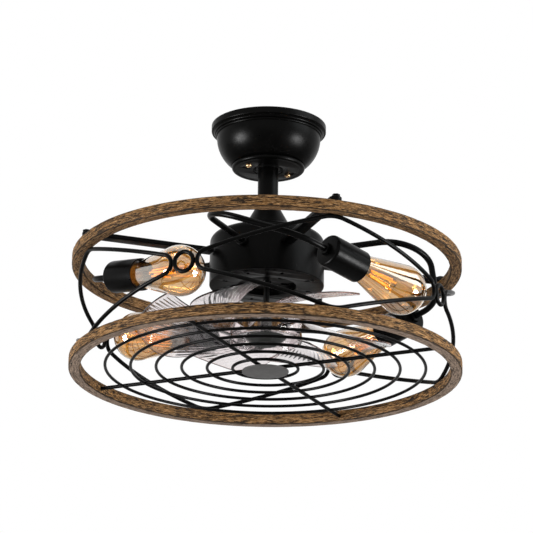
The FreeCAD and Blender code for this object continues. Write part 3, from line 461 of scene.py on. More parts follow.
def tube(path, radius, closed=False, sides=TUBE_SIDES):
    """Round bar along a path of points."""
    count = len(path)
    headings = []
    for index in range(count):
        after = path[(index + 1) % count] if closed or index + 1 < count else path[index]
        before = path[index - 1] if closed or index else path[index]
        headings.append((after - before).normalized())
    normals = [headings[0].orthogonal().normalized()]
    for heading in headings[1:]:
        normal = normals[-1] - heading * normals[-1].dot(heading)
        normals.append(normal.normalized())
    twist = 0.0
    if closed:
        last = (normals[-1] - headings[0] * normals[-1].dot(headings[0])).normalized()
        twist = atan2(last.cross(normals[0]).dot(headings[0]), last.dot(normals[0]))
    points = []
    for index, (place, heading, normal) in enumerate(zip(path, headings, normals)):
        side = heading.cross(normal)
        for step in range(sides):
            angle = tau * step / sides + twist * index / count
            points.append(place + (normal * cos(angle) + side * sin(angle)) * radius)
    return Form(points, skin(count, sides, closed) + ([] if closed else end_faces(count, sides)))


def inset(outline, distance):
    """Outline drawn in by a distance; the outline runs anticlockwise."""
    drawn = []
    for index, point in enumerate(outline):
        sides = []
        for start, end in ((outline[index - 1], point), (point, outline[(index + 1) % len(outline)])):
            run = (end - start).normalized()
            sides.append(Vector((-run.y, run.x)))
        drawn.append(point + (sides[0] + sides[1]) * (distance / (1 + sides[0].dot(sides[1]))))
    return drawn


def prism(outline, low, high, edge, steps=4):
    """Upright prism over an outline, with its level edges rounded."""
    layers = []
    for step in range(steps + 1):
        angle = pi / 2 * step / steps
        layers.append((edge * (1 - sin(angle)), low + edge * (1 - cos(angle))))
    layers += [(draw, high - (height - low)) for draw, height in reversed(layers)]
    points = []
    for draw, height in layers:
        points += [(point.x, point.y, height) for point in inset(outline, draw)]
    rows, count = len(layers), len(outline)
    return Form(points, end_faces(rows, count) + skin(rows, count))


def plate(outlines, low, high, edge):
    """Level plate with rounded edges: the first outline is its rim and the others are holes."""
    curve = bpy.data.curves.new("plate", "CURVE")
    curve.dimensions = "2D"
    curve.fill_mode = "BOTH"
    curve.bevel_depth = edge
    curve.bevel_resolution = 2
    curve.extrude = (high - low) / 2 - edge
    curve.offset = -edge
    for outline in outlines:
        spline = curve.splines.new("POLY")
        spline.points.add(len(outline) - 1)
        spline.use_cyclic_u = True
        for point, place in zip(spline.points, outline):
            point.co = (place.x, place.y, 0, 1)
    holder = bpy.data.objects.new("plate", curve)
    mesh = bpy.data.meshes.new_from_object(holder)
    form = Form([vertex.co for vertex in mesh.vertices], [tuple(face.vertices) for face in mesh.polygons])
    bpy.data.objects.remove(holder)
    bpy.data.meshes.remove(mesh)
    bpy.data.curves.remove(curve)
    return form.shifted((low + high) / 2)


def slot_holes(count, radius, length, width):
    """Holes with round ends along the radii of a circle."""
    half = width / 2
    run = length / 2 - half
    hole = arc(Vector((radius + run, 0)), half, -pi / 2, pi / 2, 8)
    hole += arc(Vector((radius - run, 0)), half, pi / 2, 3 * pi / 2, 8)
    spins = [Matrix.Rotation(tau * turn / count, 2) for turn in range(count)]
    return [[spin @ point for point in hole] for spin in spins]


# Materials


def set_or_link(socket, value):
    if isinstance(value, bpy.types.NodeSocket):
        socket.id_data.links.new(value, socket)
    else:
        socket.default_value = value


def add_node(beside, kind, settings=None, **inputs):
    """Shader node in the tree of another node or socket, with its inputs set or linked by name."""
    made = beside.id_data.nodes.new(kind)
    for key, value in (settings or {}).items():
        setattr(made, key, value)
    for key, value in inputs.items():
        set_or_link(made.inputs[key.replace("_", " ")], value)
    return made


def make_material(name, paint, *values):
    """Material whose shader is painted by a function, from places on the piece."""
    material = bpy.data.materials.new(name)
    material.use_nodes = True
    shader = material.node_tree.nodes["Principled BSDF"]
    paint(shader, add_node(shader, "ShaderNodeTexCoord").outputs["Object"], *values)
    return material


def marked(beside, name):
    """Value that was kept for the points of a piece."""
    return add_node(beside, "ShaderNodeAttribute", {"attribute_name": name}).outputs["Fac"]


def cloud(vector, scale, detail=3.0, rough=0.55, distortion=0.0):
    """Noise between 0 and 1, with its scale per metre."""
    made = add_node(vector, "ShaderNodeTexNoise", Vector=vector, Scale=scale, Detail=detail,
                    Roughness=rough, Distortion=distortion)
    return made.outputs["Fac"]


def spread(value, low, high, from_low=0.3, from_high=0.7):
    made = add_node(value, "ShaderNodeMapRange", Value=value, From_Min=from_low, From_Max=from_high,
                    To_Min=low, To_Max=high)
    return made.outputs["Result"]


def ramp(value, stops):
    """Colours along a value."""
    made = add_node(value, "ShaderNodeValToRGB", Fac=value)
    band = made.color_ramp
    while len(band.elements) < len(stops):
        band.elements.new(0.5)
    for element, (place, colour) in zip(band.elements, stops):
        element.position = place
        element.color = (*colour, 1)
    return made.outputs["Color"]


def blend_colours(factor, first, second):
    """Mix of a linked colour and a colour that is linked or given."""
    made = add_node(factor, "ShaderNodeMix", {"data_type": "RGBA"})
    second = second if isinstance(second, bpy.types.NodeSocket) else (*second, 1)
    for index, value in ((0, factor), (6, first), (7, second)):
        set_or_link(made.inputs[index], value)
    return made.outputs[2]


def math_node(operation, first, second=0.0):
    made = add_node(first, "ShaderNodeMath", {"operation": operation})
    for socket, value in zip(made.inputs, (first, second)):
        set_or_link(socket, value)
    return made.outputs[0]


def product(first, second):
    return math_node("MULTIPLY", first, second)


def split(place):
    return add_node(place, "ShaderNodeSeparateXYZ", Vector=place).outputs


def level_parts(place):
    """Parts of a place, its level part, and the distance from the fan's axis."""
    parts = split(place)
    level = add_node(place, "ShaderNodeCombineXYZ", X=parts["X"], Y=parts["Y"]).outputs[0]
    across = add_node(place, "ShaderNodeVectorMath", {"operation": "LENGTH"}, Vector=level)
    return parts, level, across.outputs["Value"]


def link(socket, shader, name):
    set_or_link(shader.inputs[name], socket)


def add_bump(shader, height, strength, distance):
    made = add_node(shader, "ShaderNodeBump", Height=height, Strength=strength, Distance=distance * MM)
    link(made.outputs["Normal"], shader, "Normal")


def clouded(shader, place, scale, dark, light):
    """Base colour that wanders between two tones."""
    link(ramp(cloud(place, scale), ((0.3, dark), (0.7, light))), shader, "Base Color")


def painted(shader, place, dark, light, rough_low, rough_high, specular):
    """Sprayed satin paint: slight clouding, uneven gloss and fine orange peel."""
    clouded(shader, place, 35, dark, light)
    link(spread(cloud(place, 180, 4), rough_low, rough_high), shader, "Roughness")
    shader.inputs["Specular IOR Level"].default_value = specular
    add_bump(shader, cloud(place, 1600, 2), 0.06, 0.3)


def metal(shader, place, dark, light, rough_low, rough_high):
    """Bare metal with drawn scratches."""
    stretched = add_node(shader, "ShaderNodeMapping", Vector=place, Scale=(1, 1, 12)).outputs["Vector"]
    clouded(shader, place, 60, dark, light)
    link(spread(cloud(stretched, 400, 4), rough_low, rough_high), shader, "Roughness")
    shader.inputs["Metallic"].default_value = 1.0
    add_bump(shader, cloud(stretched, 700, 2), 0.05, 0.2)


def plastic(shader, place, dark, light, roughness):
    """Moulded plastic with a fine spark texture."""
    clouded(shader, place, 50, dark, light)
    link(spread(cloud(place, 300), roughness - 0.05, roughness + 0.08), shader, "Roughness")
    add_bump(shader, cloud(place, 2200, 2), 0.08, 0.2)


def lined(shader, place, along, pitch, dark, light, rough_low, rough_high, strength, depth):
    """Fine lines at a pitch in millimetres along a length, in two tones and in relief."""
    lines = math_node("SINE", product(along, tau / (pitch * MM)))
    link(ramp(lines, ((0.0, dark), (1.0, light))), shader, "Base Color")
    link(spread(cloud(place, 200), rough_low, rough_high), shader, "Roughness")
    add_bump(shader, lines, strength, depth)


def laminated(shader, place):
    """Stacked core sheets: fine level lines on steel."""
    height = split(place)["Z"]
    lined(shader, place, height, 0.7, (0.12, 0.12, 0.13), (0.30, 0.30, 0.32), 0.4, 0.6, 0.2, 0.2)
    shader.inputs["Metallic"].default_value = 0.8


def wound(shader, place):
    """Enamelled copper winding: strands round the coil."""
    across = level_parts(place)[2]
    lined(shader, place, across, 0.9, (0.16, 0.05, 0.02), (0.55, 0.22, 0.09), 0.25, 0.4, 0.4, 0.3)


# Tones of the wood finish
WOOD_TONES = ((0.30, (0.112, 0.051, 0.015)), (0.5, (0.190, 0.092, 0.029)), (0.70, (0.280, 0.146, 0.052)))
# Paler tones on faces that look down: painted light from below
WOOD_UNDERSIDE_LIGHT = ((0.35, (0.230, 0.160, 0.115)), (0.65, (0.370, 0.275, 0.210)))
WOOD_FIBRE = (0.57, 0.330, 0.145)
WOOD_CRACK = (0.014, 0.010, 0.007)
# Near black for the cracks cut into the hoop: painted shade inside them
WOOD_GROOVE_SHADE = (0.010, 0.008, 0.006)
WOOD_EDGE = (0.012, 0.010, 0.008)


def weathered_wood(shader, place):
    """Wood finish on the hoops: grain runs round the hoop, with dark cracks and dark worn edges. Faces that
    look down get painted light from below, and the cracks cut into the hoop get painted shade.
    """
    parts, level, across = level_parts(place)
    way = add_node(shader, "ShaderNodeVectorMath", {"operation": "NORMALIZE"}, Vector=level)
    way = split(way.outputs["Vector"])

    def grain(along, over, detail, rough=0.6):
        """Noise stretched round the hoop: cells per radian and per metre across the section."""
        flat = add_node(shader, "ShaderNodeCombineXYZ", X=product(way["X"], along),
                        Y=product(way["Y"], along), Z=product(across, over)).outputs[0]
        made = add_node(shader, "ShaderNodeTexNoise", {"noise_dimensions": "4D"}, Vector=flat,
                        W=product(parts["Z"], over), Scale=1.0, Detail=detail, Roughness=rough)
        return made.outputs["Fac"]

    fibre = grain(45, 1700, 2)
    streak = grain(24, 1350, 4, 0.66)
    tone = ramp(grain(4, 60, 3), WOOD_TONES)
    tone = blend_colours(spread(fibre, 0.0, 0.8, 0.48, 0.62), tone, WOOD_FIBRE)
    # Faces that look down turn paler: painted light from below, full on the lower hoop and faint on the upper
    # one
    facing = split(add_node(shader, "ShaderNodeTexCoord").outputs["Normal"])["Z"]
    below = product(spread(facing, 1.0, 0.0, -0.95, -0.75), marked(shader, "underside_light"))
    tone = blend_colours(below, tone, ramp(fibre, WOOD_UNDERSIDE_LIGHT))
    crack = product(spread(streak, 0.98, 0.0, 0.46, 0.51), spread(below, 1.0, 0.6, 0, 1))
    tone = blend_colours(crack, tone, WOOD_CRACK)
    # Cracks cut into the mesh turn near black: painted shade inside them
    tone = blend_colours(product(marked(shader, "groove"), 0.92), tone, WOOD_GROOVE_SHADE)
    worn = product(marked(shader, "edge"), spread(grain(9, 160, 3), 0.55, 1.0, 0.35, 0.55))
    link(blend_colours(worn, tone, WOOD_EDGE), shader, "Base Color")
    link(spread(fibre, 0.5, 0.75), shader, "Roughness")
    shader.inputs["Specular IOR Level"].default_value = 0.07
    add_bump(shader, math_node("ADD", product(streak, 1.6), fibre), 0.4, 0.4)


def let_light_through(shader):
    shader.inputs["Transmission Weight"].default_value = 1.0
    shader.inputs["IOR"].default_value = 1.45


def amber_glass(shader, place):
    """Smoked amber bulb glass with faint streaks along the bulb, in relief; their darker and paler tint is
    painted reflection of the glass's inner surface.
    """
    along = add_node(shader, "ShaderNodeUVMap", {"uv_map": "bulb"}).outputs["UV"]
    stretched = add_node(shader, "ShaderNodeMapping", Vector=along, Scale=(60, 1.2, 1)).outputs["Vector"]
    streak = cloud(stretched, 1.0, 4, 0.6, 0.4)
    # Darker and paler tints along the streaks: painted reflection of the glass's inner surface
    tone = ramp(streak, ((0.34, (0.56, 0.30, 0.09)), (0.5, (0.80, 0.56, 0.27)), (0.66, (0.90, 0.72, 0.46))))
    link(tone, shader, "Base Color")
    let_light_through(shader)
    shader.inputs["Coat Weight"].default_value = 1.0
    shader.inputs["Coat IOR"].default_value = 2.0
    shader.inputs["Coat Roughness"].default_value = 0.02
    link(spread(cloud(place, 60), 0.0, 0.03), shader, "Roughness")
    add_bump(shader, streak, 0.10, 0.3)


def clear_acrylic(shader, place):
    """Clear moulded blades with a faint pink cast, stronger along their rims."""
    tone = ramp(cloud(place, 30), ((0.3, (0.87, 0.81, 0.82)), (0.7, (0.94, 0.90, 0.90))))
    link(blend_colours(marked(shader, "rim"), tone, (0.52, 0.36, 0.34)), shader, "Base Color")
    let_light_through(shader)
    link(spread(cloud(place, 120), 0.01, 0.05), shader, "Roughness")


def clear_glass(shader, place):
    """Clear glass of the stem inside a bulb."""
    clouded(shader, place, 90, (0.86, 0.82, 0.76), (0.96, 0.94, 0.9))
    let_light_through(shader)
    shader.inputs["Roughness"].default_value = 0.02


def glowing(shader, place):
    """Orange filament rods with brighter spots along them."""
    glow = ramp(cloud(place, 260, 2), ((0.35, (1.0, 0.34, 0.03)), (0.65, (1.0, 0.50, 0.09))))
    link(glow, shader, "Base Color")
    link(glow, shader, "Emission Color")
    shader.inputs["Emission Strength"].default_value = 2.0
    shader.inputs["Roughness"].default_value = 0.5


# Finish of each slot in the record: its maker, then tones, roughness and specular level
FINISHES = {
    "black_paint": (painted, (0.0010, 0.0010, 0.0009), (0.0018, 0.0017, 0.0016), 0.27, 0.35, 0.045),
    "grey_paint": (painted, (0.075, 0.072, 0.070), (0.095, 0.091, 0.089), 0.45, 0.58, 0.2),
    # Zinc steel is coloured near black: painted shade for the bracket seen through the canopy's keyholes
    "zinc_steel": (metal, (0.012, 0.012, 0.013), (0.022, 0.022, 0.023), 0.4, 0.55),
    "dark_steel": (metal, (0.008, 0.008, 0.008), (0.016, 0.016, 0.016), 0.35, 0.5),
    "core_steel": (laminated,),
    "bearing_steel": (metal, (0.55, 0.55, 0.56), (0.68, 0.68, 0.68), 0.12, 0.25),
    "copper_wire": (wound,),
    "brass_screw": (metal, (0.24, 0.135, 0.060), (0.40, 0.260, 0.140), 0.34, 0.48),
    "base_metal": (metal, (0.50, 0.36, 0.18), (0.68, 0.52, 0.30), 0.25, 0.4),
    "weathered_wood": (weathered_wood,),
    "black_nylon": (painted, (0.002, 0.002, 0.002), (0.004, 0.004, 0.004), 0.3, 0.4, 0.1),
    "dark_plastic": (plastic, (0.020, 0.021, 0.019), (0.030, 0.031, 0.028), 0.42),
    "socket_plastic": (plastic, (0.03, 0.03, 0.03), (0.05, 0.05, 0.05), 0.5),
    "filament": (glowing,),
    "clear_acrylic": (clear_acrylic,),
    "amber_glass": (amber_glass,),
}
MATERIALS = {name: make_material(name, *values) for name, values in FINISHES.items()}
STEM_GLASS = make_material("stem_glass", clear_glass)


def finish_cad_nodes():
    """Give every CAD node the procedural finish of its slot in the record."""
    slots = {part["node"]: part["material_slot"] for part in frame["record"]["subparts"]}
    for name, piece in frame["nodes"].items():
        piece.data.materials.clear()
        piece.data.materials.append(MATERIALS[slots[name]])


# Ceiling mount


def canopy_outline(low):
    """Section of the canopy from its lip up the bowl to the rim and back down inside."""
    rim = box_mm("canopy")[1].x
    bowl_top = -CANOPY_BAND - CANOPY_BEADS * CANOPY_BEAD_HEIGHT
    foot = CANOPY_FOOT_RADIUS
    bowl = arc_between((foot, low + 2 * CANOPY_LIP), (CANOPY_BOWL_RADIUS, bowl_top), CANOPY_BOWL_CURVE)
    roll = arc(Vector((foot - CANOPY_LIP, low + CANOPY_LIP)), CANOPY_LIP,
               -pi / 2, radians(CANOPY_LIP_ROLL), 10)
    bead = CANOPY_BEAD_HEIGHT / 2
    swing = radians(CANOPY_BEAD_ROLL)
    beads = []
    for index in range(CANOPY_BEADS):
        reach = CANOPY_BOWL_RADIUS + (index + 1) * CANOPY_BEAD_STEP - bead
        beads += arc(Vector((reach, bowl_top + (2 * index + 1) * bead)), bead, -swing, swing, 10)
    band = rounded([(rim - CANOPY_BAND_LEDGE, -CANOPY_BAND, 0), (rim, -CANOPY_BAND, 1.6), (rim, 0, 0.5),
                    (rim - CANOPY_WALL, 0, 0), (rim - CANOPY_WALL, -CANOPY_BAND + CANOPY_WALL, 0),
                    (CANOPY_BOWL_RADIUS - CANOPY_WALL, bowl_top + CANOPY_WALL, 0)])
    inner = [(radius - CANOPY_WALL, height + CANOPY_WALL / 2) for radius, height in reversed(bowl)]
    floor = foot - 2 * CANOPY_LIP
    return [(floor, low)] + roll + bowl + beads + band + inner + [(floor, low + CANOPY_WALL)]


def keyhole(side):
    """Round hole that runs into an arc-shaped slot under a screw."""
    start = asin(KEYHOLE_SLOT_RADIUS / KEYHOLE_RADIUS)
    wide = Vector((CANOPY_SCREW_CIRCLE, 0))
    narrow = Matrix.Rotation(radians(KEYHOLE_TURN), 2) @ wide
    heading = narrow - wide
    lean = atan2(heading.y, heading.x)
    points = arc(wide, KEYHOLE_RADIUS, lean + start, lean + tau - start, 24)
    points += arc(narrow, KEYHOLE_SLOT_RADIUS, lean - pi / 2, lean + pi / 2, 12)
    spin = Matrix.Rotation(side, 2)
    return [spin @ point for point in points]


def screw_head(radius, height, recess):
    """Pan head, face down, with a cross recess."""
    steps = 48
    rows = [(radius * out, height * drop, False) for out, drop in PAN_ROWS]
    rows += [(recess * out, height * drop, True) for out, drop in CROSS_ROWS]
    points = []
    for reach, drop, crossed in rows:
        for step in range(steps):
            angle = tau * step / steps
            off_arm = abs(remainder(angle, pi / 2))
            width = recess * CROSS_ARM / max(sin(off_arm), MM)
            bounded = min(reach, width * reach / recess) if crossed else reach
            points.append((bounded * cos(angle), bounded * sin(angle), -drop))
    return Form(points, end_faces(len(rows), steps) + skin(len(rows), steps))


def make_canopy():
    low = box_mm("canopy")[0].z
    shell = lathe(canopy_outline(low), FINE_STEPS)
    face_low = low + CANOPY_FACE_LIFT
    face = plate([circle_outline(CANOPY_FOOT_RADIUS - CANOPY_FACE_INSET, steps=96),
                  circle_outline(CANOPY_HOLE_RADIUS, steps=64), keyhole(0), keyhole(pi)],
                 face_low, face_low + CANOPY_WALL, 0.3)
    add_piece("canopy_shell", shell + face, ["canopy"], body=CEILING)
    head_height = low - box_mm("canopy_screws")[0].z
    head = screw_head(CANOPY_SCREW_RADIUS, head_height, CROSS_RECESS).shifted(low)
    shank = barrel(0, CANOPY_SHANK_RADIUS, low, low + CANOPY_SHANK_LENGTH, steps=24)
    screw = (head + shank).shifted(0, CANOPY_SCREW_CIRCLE).turned(KEYHOLE_TURN)
    add_piece("canopy_screw_heads", screw + screw.turned(180), ["canopy_screws"], "brass_screw", CEILING)


# Hanger, coupling and motor


def make_hanger():
    low, high = box_mm("hanger_ball")
    bore = box_mm("downrod")[1].x
    centre = high.z - BALL_CENTRE_DROP
    foot = low.z + BALL_FOOT
    ball = [(bore, foot)]
    for step in range(BALL_STEPS + 1):
        height = foot + (high.z - foot) * step / BALL_STEPS
        ball.append((sqrt(max(high.x ** 2 - (height - centre) ** 2, bore ** 2)), height))
    ball.append((bore, high.z))
    add_piece("hanger_ball_smooth", lathe(ball), ["hanger_ball"], "black_nylon")
    low, high = box_mm("downrod")
    rod = barrel(bore - ROD_WALL, bore, low.z, high.z, 0.5, 0.5)
    add_piece("downrod_tube", rod, ["downrod"])
    low, high = box_mm("coupling_cover")
    foot, neck = high.x, bore + COVER_NECK_STEP
    foot_top, neck_low = low.z + COVER_FOOT, high.z - COVER_NECK
    cover = rounded([
        (foot - COVER_WALL, low.z, 0), (foot, low.z, 0.4), (foot, foot_top, 1.2), (neck, neck_low, 1.5),
        (neck, high.z, 0.4), (bore + COVER_GAP, high.z, 0), (bore + COVER_GAP, neck_low, 0),
        (foot - COVER_WALL, foot_top, 0),
    ])
    add_piece("coupling_cover_cone", lathe(cover), ["coupling_cover"])


def make_motor():
    low, high = box_mm("motor_housing")
    radius, inner = high.x, high.x - HOUSING_WALL
    bottom, ceiling = low.z, high.z - HOUSING_WALL
    housing = rounded([
        (inner, bottom, 0), (radius, bottom, 0.8), (radius, high.z, HOUSING_SHOULDER),
        (SHAFT_HOLE_RADIUS, high.z, 0), (SHAFT_HOLE_RADIUS, ceiling, 0),
        (inner, ceiling, HOUSING_SHOULDER - HOUSING_WALL),
    ], 10)
    add_piece("motor_housing_shell", lathe(housing, FINE_STEPS), ["motor_housing"])
    rim = plate([circle_outline(inner - PLATE_GAP, steps=FINE_STEPS), circle_outline(RECESS_RADIUS, steps=96)]
                + slot_holes(*RIM_HOLES), bottom, bottom + PLATE_THICKNESS, PLATE_EDGE)
    recess_low = bottom + RECESS_DEPTH
    recess_top = recess_low + PLATE_THICKNESS
    floor = plate([circle_outline(RECESS_RADIUS + RECESS_LAP, steps=96), circle_outline(SHAFT_HOLE_RADIUS)]
                  + slot_holes(*FLOOR_HOLES), recess_low, recess_top, 0.3)
    wall = barrel(RECESS_RADIUS, RECESS_RADIUS + PLATE_THICKNESS, bottom + PLATE_EDGE, recess_top)
    add_piece("motor_plate", rim + floor + wall, ["motor_bottom_plate"])
    head = screw_head(*PLATE_SCREW).shifted(bottom, PLATE_SCREW_CIRCLE).turned(45)
    add_piece("plate_screw_heads", quarters(head), ["plate_screws"], "dark_steel")


# Hoops and support bars


def hoop(node, seed):
    """Hoop with rounded edges and shallow cracks along its grain, and its marked cracks and edges."""
    low, high = box_mm(node)
    outer = high.x
    inner = outer - HOOP_WIDTH
    section = rounded([(inner, low.z, HOOP_CORNER), (outer, low.z, HOOP_CORNER),
                       (outer, high.z, HOOP_CORNER), (inner, high.z, HOOP_CORNER)])
    dense = []
    for start, end in zip(section, section[1:] + section[:1]):
        parts = max(1, round((end - start).length / HOOP_GRID))
        dense += [start.lerp(end, part / parts) for part in range(parts)]
    form = lathe(dense, HOOP_STEPS)
    grooves = []
    edges = []
    middle = Vector(((inner + outer) / 2, (low.z + high.z) / 2))
    for point in form.points:
        across = Vector((point.x, point.y)).length
        way = Vector((point.x, point.y, 0)) / across
        near_r = min(across - inner, outer - across)
        near_z = min(point.z - low.z, high.z - point.z)
        wear = 1.0 if point.z < middle.y else HOOP_TOP_WEAR
        edges.append(wear * clamped((HOOP_EDGE_REACH - max(near_r, near_z)) / HOOP_EDGE_FADE))
        grain = (across + point.z) * CRACKS_OUT_UP + (across - point.z) * CRACKS_OUT_DOWN
        spot = Vector((way.x * CRACKS_ROUND + seed, way.y * CRACKS_ROUND, grain))
        depth = clamped((noise.fractal(spot, *CRACK_NOISE) - CRACK_START) * CRACK_SLOPE)
        grooves.append(depth)
        inward = Vector((middle.x - across, 0, middle.y - point.z)).normalized()
        point += (way * inward.x + UP * inward.z) * (depth * CRACK_DEPTH)
    return form, grooves, edges


def make_hoops():
    for node, seed, underside_light in HOOPS:
        form, grooves, edges = hoop(node, seed)
        piece = add_piece(f"{node}_hoop", form, [node], "weathered_wood", crease=HOOP_CREASE)
        mark_points(piece, "groove", grooves)
        mark_points(piece, "edge", edges)
        # Share of painted light from below on the faces that look down
        mark_points(piece, "underside_light", [underside_light] * len(edges))


def make_bars():
    low, high = box_mm("support_bar_1")
    half = high.y
    outline = [Vector((low.x + BAR_INSET, half)), Vector((low.x + BAR_INSET, -half))]
    outline += arc(Vector((high.x - half, 0)), half, -pi / 2, pi / 2, 16)
    add_quarters("support_bar_flat", prism(outline, low.z, high.z, BAR_EDGE), "support_bar")
    bolt_circle = box_mm("upper_ring")[1].x - HOOP_WIDTH / 2
    top = box_mm("bar_bolts")[1].z
    head = prism(circle_outline(BOLT_RADIUS, steps=6), high.z, top - BOLT_CHAMFER, 0.4)
    crown = lathe([(radius, top - drop) for radius, drop in BOLT_CROWN], 32)
    bolts = quarters((head + crown).shifted(0, bolt_circle))
    add_piece("bar_bolt_heads", bolts, ["bar_bolts"])


# Lamp arms and lamps


def lamp_frame():
    """Place of the first lamp: origin at the back of its cup and Z along the bulb."""
    outward = unit(radians(ARM_ANGLE + LAMP_TURN)).to_3d()
    along = UP.cross(outward)
    dip = radians(LAMP_DIP)
    axis = along * cos(dip) - UP * sin(dip)
    back = outward * LAMP_OFFSET - along * LAMP_LEAD + UP * LAMP_LEVEL
    turn = Matrix((outward, axis.cross(outward), axis)).transposed()
    return Matrix.Translation(back) @ turn.to_4x4()


LAMP = lamp_frame()


def make_arms():
    axis = LAMP.col[2].to_3d()
    back = LAMP.translation
    outward = unit(radians(ARM_ANGLE)).to_3d()
    level = UP * ARM_LEVEL
    wall = box_mm("motor_housing")[1].x
    corners = [level + outward * wall, level + outward * ARM_CORNER_REACH,
               back - axis * ARM_CUP_RUN, back + axis * ARM_CUP_ENTRY]
    arm = tube(rounded_path(corners, [ARM_CORNER_BEND, ARM_CUP_BEND]), ARM_RADIUS, sides=20)
    add_quarters("lamp_arm_tube", arm, "lamp_arm")
    lie = Matrix.Rotation(radians(90), 4, "Y")
    bush = barrel(ARM_RADIUS, BUSH_RADIUS, wall - BUSH_SINK, wall + BUSH_LENGTH, 0, 1.5, 40)
    bush = bush.moved(lie).shifted(ARM_LEVEL).turned(ARM_ANGLE)
    add_piece("arm_bush_collars", quarters(bush), ["arm_bushes"])
    nut = prism(circle_outline(NUT_RADIUS, steps=6), -NUT_HEIGHT, 0.0, 0.7).moved(LAMP)
    add_piece("arm_lock_nuts", quarters(nut), ["arm_nuts"])


def glass_outline(wall):
    """Half of the bulb's section, from its neck to its tip, drawn in by a wall."""
    radius = GLASS_RADIUS - wall
    centre = Vector((0, GLASS_BASE + GLASS_LENGTH - GLASS_RADIUS))
    start = radians(GLASS_FLANK_ANGLE)
    neck = Vector((GLASS_NECK_RADIUS - wall, GLASS_BASE))
    flank = centre + unit(start) * radius
    outline = [neck]
    for step in range(1, GLASS_FLANK_STEPS + 1):
        share = step / GLASS_FLANK_STEPS
        bow = GLASS_FLANK_BOW * sin(pi * share) * (1 - wall / GLASS_RADIUS)
        outline.append(neck.lerp(flank, share) + Vector((bow, 0)))
    outline += arc(centre, radius, start, pi / 2, 24)[1:]
    outline[-1].x = 0.0
    return outline


def make_bulb(turn):
    number = turn + 1
    place = Matrix.Rotation(radians(90 * turn), 4, "Z") @ LAMP
    shell = lathe(glass_outline(0.0) + glass_outline(GLASS_WALL)[::-1], 64)
    glass = add_piece(f"bulb_shell_{number}", shell.moved(place), [f"bulb_glass_{number}"], "amber_glass",
                      crease=GLASS_CREASE)
    back = place.inverted()
    layer = glass.data.uv_layers.new(name="bulb")
    for loop in glass.data.loops:
        local = back @ (glass.data.vertices[loop.vertex_index].co / MM)
        angle = atan2(local.y, local.x) / tau
        layer.data[loop.index].uv = (abs(angle), local.z / GLASS_LENGTH)
    place = place @ Matrix.Translation((0, 0, GLASS_BASE))
    inside = [(radius - STEM_WALL, height) for radius, height in reversed(STEM_FLARE)]
    stem = lathe([*STEM_FLARE, (0, STEM_TIP), (0, STEM_TIP - STEM_WALL), *inside], 32)
    mast = lathe(STEM_MAST, 16)
    add_piece(f"bulb_stem_{number}", (stem + mast).moved(place), slot="amber_glass", material=STEM_GLASS)
    rods = []
    wires = []
    for side in range(FILAMENTS):
        spin = Matrix.Rotation(tau * side / FILAMENTS, 3, "Z")
        foot, head = [spin @ Vector((across, 0, up)) for across, up in FILAMENT_ENDS]
        rods.append(tube([foot, foot.lerp(head, 0.5), head], FILAMENT_RADIUS, sides=12))
        for end, (across, up), tie in zip((foot, head), LEAD_KNEES, LEAD_TIES):
            lead = [end, spin @ Vector((across, 0, up)), UP * tie]
            wires.append(tube(lead, LEAD_RADIUS, sides=8))
    add_piece(f"bulb_rods_{number}", joined(rods).moved(place), [f"bulb_filament_{number}"], "filament")
    add_piece(f"bulb_wires_{number}", joined(wires).moved(place), slot="dark_steel")


def make_lamps():
    inner = CUP_RADIUS - CUP_WALL
    cup = lathe(rounded([
        (ARM_RADIUS, 0, 0), (CUP_RADIUS, 0, CUP_EDGE), (CUP_RADIUS, CUP_LENGTH, 0.6),
        (inner, CUP_LENGTH, 0.5), (inner, CUP_WALL, CUP_EDGE - CUP_WALL), (ARM_RADIUS, CUP_WALL, 0),
    ])).moved(LAMP)
    for turn in range(QUARTERS):
        add_piece(f"socket_cup_shell_{turn + 1}", cup.turned(90 * turn), [f"socket_cup_{turn + 1}"])
        make_bulb(turn)


# Wire cage and grille


def loop_path():
    """One cage loop, a rounded lozenge bent round the cage's cylinder."""
    top = Vector((0, LOOP_TOP - LOOP_END_BEND))
    side = Vector((LOOP_SIDE - LOOP_SIDE_BEND, 0))
    span = side - top
    tilt = atan2(span.y, span.x) + acos((LOOP_END_BEND - LOOP_SIDE_BEND) / span.length)
    flat = arc(top, LOOP_END_BEND, pi / 2, tilt, LOOP_BEND_STEPS)
    run_start, run_end = flat[-1], side + unit(tilt) * LOOP_SIDE_BEND
    flat += [run_start.lerp(run_end, step / LOOP_RUN_STEPS) for step in range(1, LOOP_RUN_STEPS)]
    flat += arc(side, LOOP_SIDE_BEND, tilt, 0.0, LOOP_BEND_STEPS)
    half = flat + [Vector((point.x, -point.y)) for point in reversed(flat[:-1])]
    whole = half + [Vector((-point.x, point.y)) for point in reversed(half[1:-1])]
    return [(unit(point.x / CAGE_RADIUS) * CAGE_RADIUS).to_3d() + UP * (CAGE_MIDDLE + point.y)
            for point in whole]


def make_cage():
    add_quarters("cage_loop_wire", tube(loop_path(), CAGE_WIRE, closed=True), "cage_loop")
    stand = Matrix.Translation((CAGE_RADIUS, 0, CAGE_MIDDLE)) @ Matrix.Rotation(radians(90), 4, "Y")
    ring = torus(LINK_RADIUS, CAGE_WIRE, 48).moved(stand).turned(45)
    add_piece("cage_link_rings", quarters(ring), ["cage_links"])


